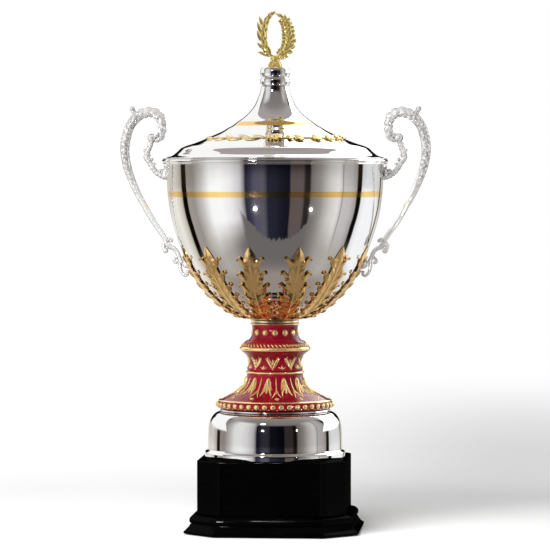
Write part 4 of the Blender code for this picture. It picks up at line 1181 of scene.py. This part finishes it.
def spray(name, node, middle):
    sp = Shape()
    rnd = random.Random(3)
    m = spray_mid
    # laurel to the left: a thin stem and a few long narrow leaves lying along it
    stem_on_dome(sp, middle, [(m, 0), (m + 0.4, -10), (m - 0.6, -22), (m + 0.8, -36), (m - 0.2, -50), (m + 0.4, -64), (m, -74)],
                 0.7, 0.9)
    for deg, up, lean, length, wide, bend in ((-7, 1, 60, 17, 1.1, 16), (-12, -1, 70, 17, 1.1, -8), (-20, 1, 58, 20, 1.0, 18),
                                              (-27, -1, 72, 20, 1.1, -8), (-35, 1, 60, 20, 1.0, 16), (-43, -1, 70, 17, 1.0, -6),
                                              (-50, 1, 60, 18, 1.0, 14), (-60, -1, 70, 13, 1.0, -6), (-66, 1, 68, 12, 1.0, 8),
                                              (-74, 1, 88, 9, 1.0, 0)):
        direction = -rad(lean if up > 0 else 180 - lean)
        small_leaf(sp, dome_line, middle + rad(deg), (m + up * 0.4, 0.0), direction, length, wide, 0, 0.3, 0.6, 16, 4,
                   -rad(bend))
    for deg, up in ((-16, 1), (-39, -1)):
        sp.add(ball(on_line(dome_line, middle + rad(deg), m + up * 2.2, 0, 0.8), 0.9, 7, 12))
    # oak to the right: rounded clusters of lobed leaves with acorns, and bare stem between
    stem_on_dome(sp, middle, [(m, 0), (m - 0.4, 12), (m + 0.6, 26), (m - 0.4, 40), (m + 0.4, 56), (m, 72)], 0.8, 1.0)
    for k, deg in enumerate((19.0, 35.0, 49.0, 61.0, 71.0)):
        az = middle + rad(deg)
        g = (1.0, 1.05, 1.0, 0.9, 0.75)[k]
        for lean, length, wide in ((38, 8.6, 3.4), (142, 8.6, 3.4), (82, 9.2, 3.4), (-40, 6.6, 2.8), (-140, 6.6, 2.8)):
            small_leaf(sp, dome_line, az, (m + 0.6 * math.cos(rad(lean)), 0.4), rad(lean + rnd.uniform(-7, 7)), length * g,
                       wide * g, 3, 0.55 + 0.25 * rnd.random(), 1.2, 18, 5)
        sp.add(ball(on_line(dome_line, az, m + 1.8, -1.6, 1.9), 1.0, 8, 12, (1.7, 1.7, 1.5)))
        sp.add(ball(on_line(dome_line, az, m - 1.8, -1.2, 1.9), 1.0, 8, 12, (1.6, 1.6, 1.4)))
    small_leaf(sp, dome_line, middle + rad(9.5), (m + 0.6, 0.0), rad(60), 9.0, 2.8, 3, 0.6, 1.0, 16, 5)
    small_leaf(sp, dome_line, middle + rad(10.5), (m - 0.6, 0.0), rad(122), 8.0, 2.8, 3, 0.6, 1.0, 16, 5)
    # knot: crossed stems over a cluster
    for direction, length in ((16, 8), (-24, 8), (62, 11), (-66, 11), (104, 10), (-112, 10), (158, 8), (-152, 8), (36, 10),
                              (-42, 9)):
        small_leaf(sp, dome_line, middle, (m, 0.0), rad(direction), length, 2.8, 3, 0.8, 1.5, 14, 4)
    for s, x, r in ((0, 0, 2.7), (2.4, 4.0, 1.9), (-2.2, 3.8, 1.9), (2.2, -4.0, 1.8), (-2.4, -3.8, 1.8), (4.6, 0.4, 1.6),
                    (-4.6, -0.4, 1.6), (0.4, 7.0, 1.6), (0.2, -7.0, 1.4)):
        sp.add(ball(on_line(dome_line, middle, m + s, x, 1.4), r, 8, 12))
    return sp.piece(name, [GILT_SPRAY], "lid", [node], "gilt", 55)


spray("spray_front_gilt", "lid_spray_front", rad(-86))
spray("spray_back_gilt", "lid_spray_back", rad(94))

# =============================================================================
# wreath finial
# =============================================================================
wreath = Shape()


def free_leaf(root, tip_dir, face, length, wide, lobes=0, bend=0.18, cup=0.35, thick=0.55, rows=12, cols=4):
    """A leaf in space: from root along tip_dir, its upper side towards face, bending away from face at the tip."""
    t = np.array(tip_dir, float)
    t /= np.linalg.norm(t)
    f = np.array(face, float)
    f -= t * (f @ t)
    f /= np.linalg.norm(f)
    c = np.cross(f, t)
    top, bottom = [], []
    for i in range(rows + 1):
        a = i / rows
        w = wide * math.sin(math.pi * min(1.0, a * 0.93 + 0.05) ** 0.8) ** 0.85
        if lobes:
            w *= 0.70 + 0.45 * abs(math.sin(math.pi * lobes * a)) ** 0.7
        w = max(w, 0.15)
        rt, rb = [], []
        for j in range(-cols, cols + 1):
            v = j / cols
            rise = (1.9 * cup * abs(v) ** 1.3 * w + bend * length * a * a * -1.0 + 0.45 * math.exp(-(v * 3.2) ** 2)
                    + 0.12 * math.cos(2 * math.pi * (a * length / 2.6 - abs(v) * 0.7)) * abs(v))
            p = np.array(root) + t * length * a + c * v * w + f * rise
            rt.append(p + f * thick / 2)
            rb.append(p - f * thick / 2)
        top.append(rt)
        bottom.append(rb)
    return sheet(top, bottom)


BRANCHES = {-1: [(3.0, 541.0), (0.2, 545.0), (-4.4, 549.0), (-9.6, 554.4), (-12.6, 562.0), (-13.6, 571.6), (-12.4, 581.2),
                 (-9.2, 589.4), (-4.6, 595.0), (0.4, 598.0)],
            1: [(-3.0, 541.0), (0.0, 545.0), (4.6, 548.8), (10.6, 553.4), (14.2, 560.8), (15.2, 570.4), (13.8, 580.4),
                (10.6, 588.4), (5.6, 594.2), (0.4, 596.8)]}
rnd = random.Random(11)
for side in (-1, 1):
    p = curve(BRANCHES[side], 0.8)
    run = Line(p)
    wreath.add(tube([(q[0], 0, q[1]) for q in p], [(-t[1], 0, t[0]) for t in run.d], [(0, 1, 0)] * len(p),
                    np.interp(run.s, [0, 12, run.length], [1.7, 1.5, 0.8]), np.interp(run.s, [0, 12, run.length], [1.7, 1.5, 0.8]),
                    12, lambda i, t: 1 + 0.06 * math.sin(5 * t + i * 0.8)))

    def sprig(s, out_lean, y_lean, length, wide, lobes, face, out_shift=0.0, bend=0.1, cup=0.3, thick=0.8):
        """A leaf from the branch at s; out_lean turns it out of the ring, y_lean towards the front or back."""
        x, z, a, b = run.at(s)
        tangent = np.array((a, 0, b))
        outward = np.array((-b, 0, a)) * (1 if side < 0 else -1)
        y = np.array((0, face, 0))
        root = np.array((x, 0, z)) + outward * out_shift + y * 0.6
        way = tangent * math.cos(out_lean) + outward * math.sin(out_lean) + y * y_lean
        wreath.add(free_leaf(root, way, y + outward * 0.25 * (1 if out_lean > 0 else -1), length, wide, lobes, bend, cup, thick,
                             14, 5))

    L = run.length
    if side < 0:
        # laurel: long smooth leaves lying up the branch with their tips standing off
        for face in (-1, 1):
            for s, lean, yl, length, wide in ((10.0, 26, 0.08, 17.0, 2.4), (13.0, 2, 0.26, 13.0, 2.6), (19.5, 24, 0.16, 13.5, 2.4),
                                              (22.5, -2, 0.26, 12.5, 2.8), (29.0, 21, 0.12, 15.0, 3.0), (32.0, -4, 0.24, 13.0, 2.9),
                                              (38.5, 31, 0.12, 15.0, 2.7), (42.0, 0, 0.22, 12.0, 2.7), (47.0, 44, 0.12, 13.0, 2.3),
                                              (50.5, 4, 0.18, 10.0, 2.2), (57.0, 6, 0.12, 9.0, 1.9), (62.0, 0, 0.1, 7.0, 1.6)):
                sprig(s, rad(lean), yl, length, wide, 0, face)
            for s, lean, length, wide in ((12.0, -30, 11.0, 2.3), (20.0, -30, 11.0, 2.4), (28.5, -27, 11.5, 2.5), (37.5, -25, 11.0, 2.5),
                                          (46.5, -20, 10.0, 2.1), (55.0, -14, 8.5, 1.7)):
                sprig(s, rad(lean), 0.16, length, wide, 0, face)
    else:
        # oak: thick clusters of short lobed leaves
        for face in (-1, 1):
            for k in range(10):
                s = 10.0 + 4.7 * k
                g = 1.08 - 0.055 * abs(k - 4)
                sprig(s, rad(58 + rnd.uniform(-6, 6)), 0.20, 9.4 * g, 2.9, 2, face, 0.6, 0.05, 0.28)
                sprig(s + 1.6, rad(24 + rnd.uniform(-6, 6)), 0.36, 9.0 * g, 3.0, 2, face, 0.4, 0.12, 0.28)
                sprig(s + 0.6, rad(-26 + rnd.uniform(-6, 6)), 0.34, 8.4 * g, 2.8, 2, face, -0.8, 0.12, 0.28)
                sprig(s + 2.8, rad(-52 + rnd.uniform(-6, 6)), 0.12, 6.8 * g, 2.3, 2, face, -1.6, 0.05, 0.28)
                x, z, a, b = run.at(s + 3.4)
                wreath.add(ball((x + (1.8 if k % 2 else -1.4), face * 3.0, z), 1.45, 8, 12))
            sprig(55.0, rad(36), 0.14, 8.0, 1.9, 0, face)
            sprig(57.0, rad(4), 0.14, 8.5, 1.8, 0, face)
            sprig(61.0, rad(-6), 0.10, 7.0, 1.5, 0, face)
# binding where the stems cross, and the foot they spread into
for z, r in ((546.4, 4.6), (543.8, 4.9), (541.2, 5.0)):
    ring = joined(curve([(r - 1.8, z - 1.2), (r - 0.1, z - 0.9), (r + 0.4, z), (r - 0.1, z + 0.9), (r - 1.8, z + 1.2)], 0.3))
    wreath.add(lathe(ring, 40)[0])
outline = joined([(3.5, 532.7), (6.9, 532.7)], curve([(6.9, 532.7), (7.6, 533.2), (7.5, 534.2), (6.6, 535.8), (5.4, 538.2),
                 (4.6, 541.4), (4.2, 544.2), (3.4, 546.8), (2.0, 548.6)], 0.5), [(0.0, 549.2), (0.0, 543.2), (3.5, 543.0)])
wreath.add(lathe(outline, 64)[0])
for k in range(8):
    a = 2 * math.pi * (k + 0.5) / 8
    wreath.add(free_leaf((math.cos(a) * 4.4, math.sin(a) * 4.4, 541.6), (math.cos(a) * 0.42, math.sin(a) * 0.42, -1.0),
                         (math.cos(a), math.sin(a), 0.4), 8.4, 1.9, 0, -0.05, 0.3, 0.8))
for k in range(10):
    a = 2 * math.pi * k / 10 + 0.3
    wreath.add(ball((math.cos(a) * 4.9, math.sin(a) * 4.9, 542.6 + 2.2 * (k % 2)), 1.15, 7, 10))
wreath.piece("wreath_gilt", [GILT], "lid", ["finial_wreath"], "gilt", 58)


# =============================================================================
# plinth
# =============================================================================
def rounded_octagon(half, chamfer, corner=1.0, steps=4):
    """Corner-rounded octagon, anticlockwise from the bottom edge's right end."""
    q = half - chamfer
    pts = [(q, -half), (half, -q), (half, q), (q, half), (-q, half), (-half, q), (-half, -q), (-q, -half)]
    out = []
    for i, p in enumerate(pts):
        a, b = np.array(pts[i - 1]), np.array(pts[(i + 1) % 8])
        p = np.array(p)
        u, w = (a - p) / np.linalg.norm(a - p), (b - p) / np.linalg.norm(b - p)
        cut = corner * math.tan(math.radians(22.5))
        p0, p1 = p + u * cut, p + w * cut
        for k in range(steps + 1):
            t = k / steps
            out.append((1 - t) ** 2 * p0 + 2 * t * (1 - t) * p + t * t * p1)
    return out


def octagon_stack(levels, closed):
    """Walls through rounded octagons at (height, half width, chamfer, corner radius)."""
    verts, faces, size = [], [], None
    for z, half, chamfer, corner in levels:
        loop = rounded_octagon(half, chamfer, corner)
        size = len(loop)
        verts += [(x, y, z) for x, y in loop]
    n = len(levels)
    for i in range(n if closed else n - 1):
        j = (i + 1) % n
        for k in range(size):
            l = (k + 1) % size
            faces.append((i * size + k, i * size + l, j * size + l, j * size + k))
    if not closed:
        faces.append(tuple(range(size - 1, -1, -1)))
        faces.append(tuple(range((n - 1) * size, n * size)))
    return verts, faces


H, C, T = 85.0, 27.5, 0.586
levels = [(76.0, H - 9, C - 9 * T, 0.5), (23.3, H - 9, C - 9 * T, 0.5), (23.3, H - 0.3, C - 0.2, 1.6), (23.6, H, C, 1.8)]
levels += [(83.4, H, C, 1.8)]
for k in range(1, 6):
    t = math.pi / 2 * k / 5
    levels.append((83.4 + 1.6 * math.sin(t), H - 1.6 * (1 - math.cos(t)), C - 1.6 * (1 - math.cos(t)) * T, 1.8))
levels += [(85.0, H - 30.0, C - 30 * T, 1.8)]
body = Shape()
stack = octagon_stack(levels[:-1], False)
body.add(stack)
body.piece("plinth_block_lacquered", [BLACK], "cup", ["plinth_body"], "black_lacquer", 30)

profile = np.vstack([curve([(14.6, 1.5), (14.9, 2.2), (14.8, 3.6)], 0.6),
                     curve([(14.4, 4.0), (12.2, 5.4), (10.2, 7.4), (8.8, 9.6), (7.8, 11.4)], 0.7),
                     curve([(7.6, 11.7), (6.6, 11.9), (6.4, 12.6)], 0.5),
                     curve([(7.4, 13.2), (8.3, 14.4), (8.6, 16.2), (8.2, 18.4), (7.0, 20.4), (5.0, 21.9), (2.6, 22.8),
                            (0.6, 23.0)], 0.7)])
levels = [(z, H + d, C + T * d, 1.8) for d, z in profile]
levels += [(23.0, 68.0, 22.0, 0.5), (1.5, 68.0, 22.0, 0.5)]
Shape().add(octagon_stack(levels, True)).piece("plinth_moulding_lacquered", [BLACK], "cup", ["plinth_foot"],
                                               "black_lacquer", 30)

# CAD nodes that stay, with their finishes
for node, obj in frame["nodes"].items():
    finish = FELT if node == "base_felt" else STEEL
    if any(word in node for word in ("screw", "washer", "nut", "tie_rod", "stud", "backing", "felt")):
        for slot in obj.material_slots:
            slot.material = finish

# =============================================================================
# stage: floor, world and lights
# =============================================================================
floor_mesh = bpy.data.meshes.new("floor")
floor_mesh.from_pydata([(-60, -60, 0), (60, -60, 0), (60, 60, 0), (-60, 60, 0)], [], [(0, 1, 2, 3)])
floor = bpy.data.objects.new("floor", floor_mesh)
bpy.context.scene.collection.objects.link(floor)
fm, fn, fp = material("pale_floor")
here = fn.coords()
fn.link(fn.colours(fn.noise(here, 3.0, 3.0, 0.5), [(0.3, (0.93, 0.93, 0.93)), (0.7, (0.95, 0.95, 0.95))]),
        fp.inputs["Base Color"])
fp.inputs["Roughness"].default_value = 0.9
fp.inputs["Specular IOR Level"].default_value = 0.0
# painted light: away from the middle the floor is mixed into a plain white glow, an emission though it is no lamp, so
# it blends into the plain white behind it; the glow starts sooner on the left than on the right, so the lit floor and
# the key's shadow show mostly to the right of the plinth
across = fn.new("ShaderNodeVectorMath", operation="LENGTH")
fn.link(here, across.inputs[0])
where = fn.new("ShaderNodeSeparateXYZ")
fn.link(here, where.inputs[0])
to_left = fn.ramp_range(where.outputs["X"], 0.28, -0.22)
fade = fn.math("ADD", fn.math("MULTIPLY", to_left, fn.ramp_range(across.outputs["Value"], 0.2, 0.9)),
               fn.math("MULTIPLY", fn.math("SUBTRACT", 1.0, to_left), fn.ramp_range(across.outputs["Value"], 0.35, 3.1)))
# painted light: the floor's white glow
glow = fn.new("ShaderNodeEmission")
glow.inputs["Color"].default_value = (1, 1, 1, 1)
glow.inputs["Strength"].default_value = 1.0
blend = fn.new("ShaderNodeMixShader")
fn.link(fade, blend.inputs[0])
fn.link(fp.outputs[0], blend.inputs[1])
fn.link(glow.outputs[0], blend.inputs[2])
fn.link(blend.outputs[0], fm.node_tree.nodes["Material Output"].inputs["Surface"])
floor_mesh.materials.append(fm)
floor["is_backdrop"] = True
floor.visible_glossy = False

world = bpy.data.worlds.new("studio")
bpy.context.scene.world = world
world.use_nodes = True
w = Nodes(world.node_tree)
background = world.node_tree.nodes["Background"]
out = world.node_tree.nodes["World Output"]
direction = w.new("ShaderNodeTexCoord").outputs["Generated"]
sep = w.new("ShaderNodeSeparateXYZ")
w.link(direction, sep.inputs[0])
x, y, z = sep.outputs
DEG = 180 / math.pi
raw = w.math("SUBTRACT", w.math("MULTIPLY", w.math("ARCTAN2", x, w.math("MULTIPLY", y, -1.0)), DEG), VIEW_AZ)
azimuth = w.math("SUBTRACT", w.math("FLOORED_MODULO", w.math("ADD", raw, 180.0), 360.0), 180.0)
elevation = w.math("MULTIPLY", w.math("ARCSINE", z), DEG)
over = w.math("MULTIPLY", w.math("ARCTAN2", z, w.math("MULTIPLY", w.math("COSINE", w.math("DIVIDE", azimuth, DEG)),
              w.math("SQRT", w.math("SUBTRACT", 1.0, w.math("MULTIPLY", z, z))))), DEG)


def grey(*c):
    c = c * 3 if len(c) == 1 else c
    return tuple(lin(v / 255.0) / 0.95 for v in c)


# tones of the studio at eye level, round from the camera: cloth, panels, dark gaps
left_side = [(-180, grey(236, 233, 222)), (-165, grey(240, 238, 230)), (-150, grey(226, 222, 212)),
             (-135, grey(237, 234, 227)), (-123, grey(205, 199, 190)), (-119, grey(172, 163, 152)),
             (-118, grey(12, 8, 6)), (-110, grey(12, 8, 6)), (-109, grey(162, 154, 146)), (-98, grey(152, 146, 143)),
             (-85, grey(203, 199, 197)), (-74, grey(249, 251, 251)), (-61, grey(254)), (-49, grey(238, 237, 240)),
             (-38, grey(201, 199, 202)), (-33.5, grey(128, 124, 128)), (-32, grey(40, 40, 52)),
             (-27, grey(58, 57, 76)), (-22, grey(84, 82, 100)), (-13, grey(90, 87, 96)), (-9.5, grey(66, 66, 78)),
             (-8, grey(36, 38, 51)), (0, grey(35, 36, 49))]
right_side = [(0, grey(35, 36, 49)), (8, grey(26, 26, 38)), (15.5, grey(21, 20, 32)), (17, grey(92, 82, 80)),
              (30, grey(94, 83, 81)), (32.5, grey(42, 38, 37)), (37.5, grey(38, 34, 34)), (39.5, grey(112, 108, 106)),
              (50, grey(146, 141, 138)), (62, grey(203, 199, 196)), (72, grey(226, 223, 221)),
              (76.6, grey(205, 201, 199)), (77.6, grey(112, 108, 107)), (78.8, grey(196, 193, 192)),
              (90, grey(190, 186, 186)), (98, grey(160, 156, 154)), (99.2, grey(13, 10, 9)), (105.5, grey(13, 10, 9)),
              (107, grey(230, 230, 232)), (116, grey(246, 249, 252)), (136, grey(246, 248, 250)),
              (149.5, grey(232, 230, 226)), (150.8, grey(26, 24, 22)), (153.6, grey(26, 24, 22)),
              (155.5, grey(216, 212, 204)), (180, grey(216, 212, 204))]
ring_left = w.colours(w.math("DIVIDE", w.math("ADD", azimuth, 180.0), 180.0), [((p + 180) / 180, c) for p, c in left_side])
ring_right = w.colours(w.math("DIVIDE", azimuth, 180.0), [(p / 180, c) for p, c in right_side])
ring_round = w.mix(w.math("GREATER_THAN", azimuth, 0.0), ring_left, ring_right)
# at and above eye level the cloths fall off a little and the gap in front goes nearly black
risen = w.ramp_range(elevation, -6.0, -2.5)
in_gap = w.math("MULTIPLY", w.ramp_range(azimuth, -33.5, -31.5), w.ramp_range(azimuth, 38.5, 36.5))
weight = w.math("MULTIPLY", risen, w.math("SUBTRACT", 0.28, w.math("MULTIPLY", in_gap, 0.28)))
ring_low = w.mix(weight, ring_round, (*grey(60, 48, 30), 1))
ring_low = w.mix(w.math("MULTIPLY", w.math("MULTIPLY", risen, in_gap), 0.75), ring_low, (0.0, 0.0, 0.0, 1))

# overhead: a grey ceiling in front that ends beyond the zenith, and a white panel behind it
front = w.math("MULTIPLY", w.ramp_range(azimuth, -44, -30), w.ramp_range(azimuth, 50, 36))
start = w.math("ADD", w.math("MULTIPLY", front, -12.0), 35.0)
upper = w.ramp_range(w.math("SUBTRACT", elevation, start), 0.0, 15.0)
ceiling = w.colours(w.math("DIVIDE", over, 180.0), [(44 / 180, grey(122, 116, 116)), (74 / 180, grey(133, 128, 126)),
                                                    (98 / 180, grey(164, 157, 157))])
with_ceiling = w.mix(upper, ring_low, ceiling)
back_white = w.mix(w.ramp_range(azimuth, 10, 110), (*tone_white(1.0), 1), (*tone_white(2.4), 1))
past = w.math("MULTIPLY", w.ramp_range(over, 117.0, 118.4), w.ramp_range(elevation, 1.0, 6.0))
with_back = w.mix(past, with_ceiling, back_white)
flag = w.math("MULTIPLY", w.ramp_range(w.math("ABSOLUTE", azimuth), 151, 156),
              w.math("MULTIPLY", w.ramp_range(elevation, 1.2, 2.4), w.ramp_range(elevation, 18.0, 14.5)))
above = w.mix(flag, with_back, (*grey(14, 12, 12), 1))

# below the horizon: the dark gap ends in a bow, then the table's grey, warmer and paler to the sides and behind
side_tone = w.colours(w.math("DIVIDE", w.math("ABSOLUTE", azimuth), 180.0),
                      [(0.0, grey(104, 101, 100)), (0.2, grey(106, 102, 101)), (0.25, grey(126, 121, 117)),
                       (0.33, grey(164, 159, 156)), (0.42, grey(176, 171, 164)), (0.55, grey(160, 151, 140)),
                       (0.72, grey(192, 183, 168)), (1.0, grey(232, 228, 218))])
table = w.mix(w.ramp_range(elevation, -44, -64), side_tone, (*grey(146, 137, 130), 1))
share = w.math("ABSOLUTE", w.math("DIVIDE", w.math("SUBTRACT", azimuth, 4.0), 37.0))
bow = w.math("SUBTRACT", w.math("MULTIPLY", w.math("POWER", share, 2.8), 12.0), 37.5)
fringe = w.math("MULTIPLY", w.math("SUBTRACT", w.noise(direction, 26.0, 3.0, 0.6), 0.5), 5.0)
in_front = w.math("MULTIPLY", w.ramp_range(azimuth, -41, -36), w.ramp_range(azimuth, 49, 43))
past_bow = w.ramp_range(w.math("ADD", w.math("SUBTRACT", bow, elevation), fringe), -0.3, 0.5)
soft_side = w.ramp_range(elevation, -23, -38)
to_table = w.math("ADD", w.math("MULTIPLY", in_front, past_bow),
                  w.math("MULTIPLY", w.math("SUBTRACT", 1.0, in_front), soft_side))
below = w.mix(to_table, ring_low, table)
env = w.mix(w.math("LESS_THAN", elevation, 0.0), above, below)

w.link(env, background.inputs["Color"])
background.inputs["Strength"].default_value = 1.0
pale = w.new("ShaderNodeBackground")
pale.inputs["Color"].default_value = (1, 1, 1, 1)
pale.inputs["Strength"].default_value = 1.0
fill = w.new("ShaderNodeBackground")
fill.inputs["Color"].default_value = (1, 1, 1, 1)
fill.inputs["Strength"].default_value = 0.20
path = w.new("ShaderNodeLightPath")
first = w.new("ShaderNodeMixShader")
w.link(path.outputs["Is Diffuse Ray"], first.inputs[0])
w.link(background.outputs[0], first.inputs[1])
w.link(fill.outputs[0], first.inputs[2])
mixer = w.new("ShaderNodeMixShader")
w.link(path.outputs["Is Camera Ray"], mixer.inputs[0])
w.link(first.outputs[0], mixer.inputs[1])
w.link(pale.outputs[0], mixer.inputs[2])
w.link(mixer.outputs[0], out.inputs["Surface"])


def area(name, azimuth_deg, elevation_deg, far, size, power, target=(0, 0, 0.25), colour=(1, 1, 1), glossy=True,
         diffuse=True):
    data = bpy.data.lights.new(name, "AREA")
    data.shape = "RECTANGLE"
    data.size, data.size_y = size
    data.energy = power
    data.color = colour
    obj = bpy.data.objects.new(name, data)
    bpy.context.scene.collection.objects.link(obj)
    a, e = rad(azimuth_deg + VIEW_AZ), rad(elevation_deg)
    back = Vector((math.sin(a) * math.cos(e), -math.cos(a) * math.cos(e), math.sin(e)))
    obj.location = Vector(target) + back * far
    obj.rotation_mode = "QUATERNION"
    obj.rotation_quaternion = back.to_track_quat("Z", "Y")
    obj.visible_camera = False
    obj.visible_glossy = glossy
    obj.visible_diffuse = diffuse
    return obj


area("key", -28, 30, 2.4, (2.0, 2.0), 114.0, glossy=False)
area("panel", -24, 36, 1.6, (0.20, 0.20), 0.8, diffuse=False)
area("spark_left", -19.5, -2.9, 0.56, (0.018, 0.015), 0.8, diffuse=False)
area("spark_right", 36, -2.9, 0.56, (0.011, 0.009), 0.2, diffuse=False)
# two small lamps that only catch the roundings of the lacquered plinth
lacquered = bpy.data.collections.new("lacquered")
for obj in list(bpy.data.objects):
    if obj.type == "MESH" and obj.name.startswith("plinth_") and "lacquered" in obj.name:
        lacquered.objects.link(obj)
for name, azimuth_deg, wide, power in (("glint_middle", -9.0, 0.034, 1.8), ("glint_left", -12.4, 0.034, 2.4)):
    lamp = area(name, azimuth_deg, 40, 1.5, (wide, 0.06), power, target=(0, 0, 0.02), diffuse=False)
    lamp.light_linking.receiver_collection = lacquered

low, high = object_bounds()
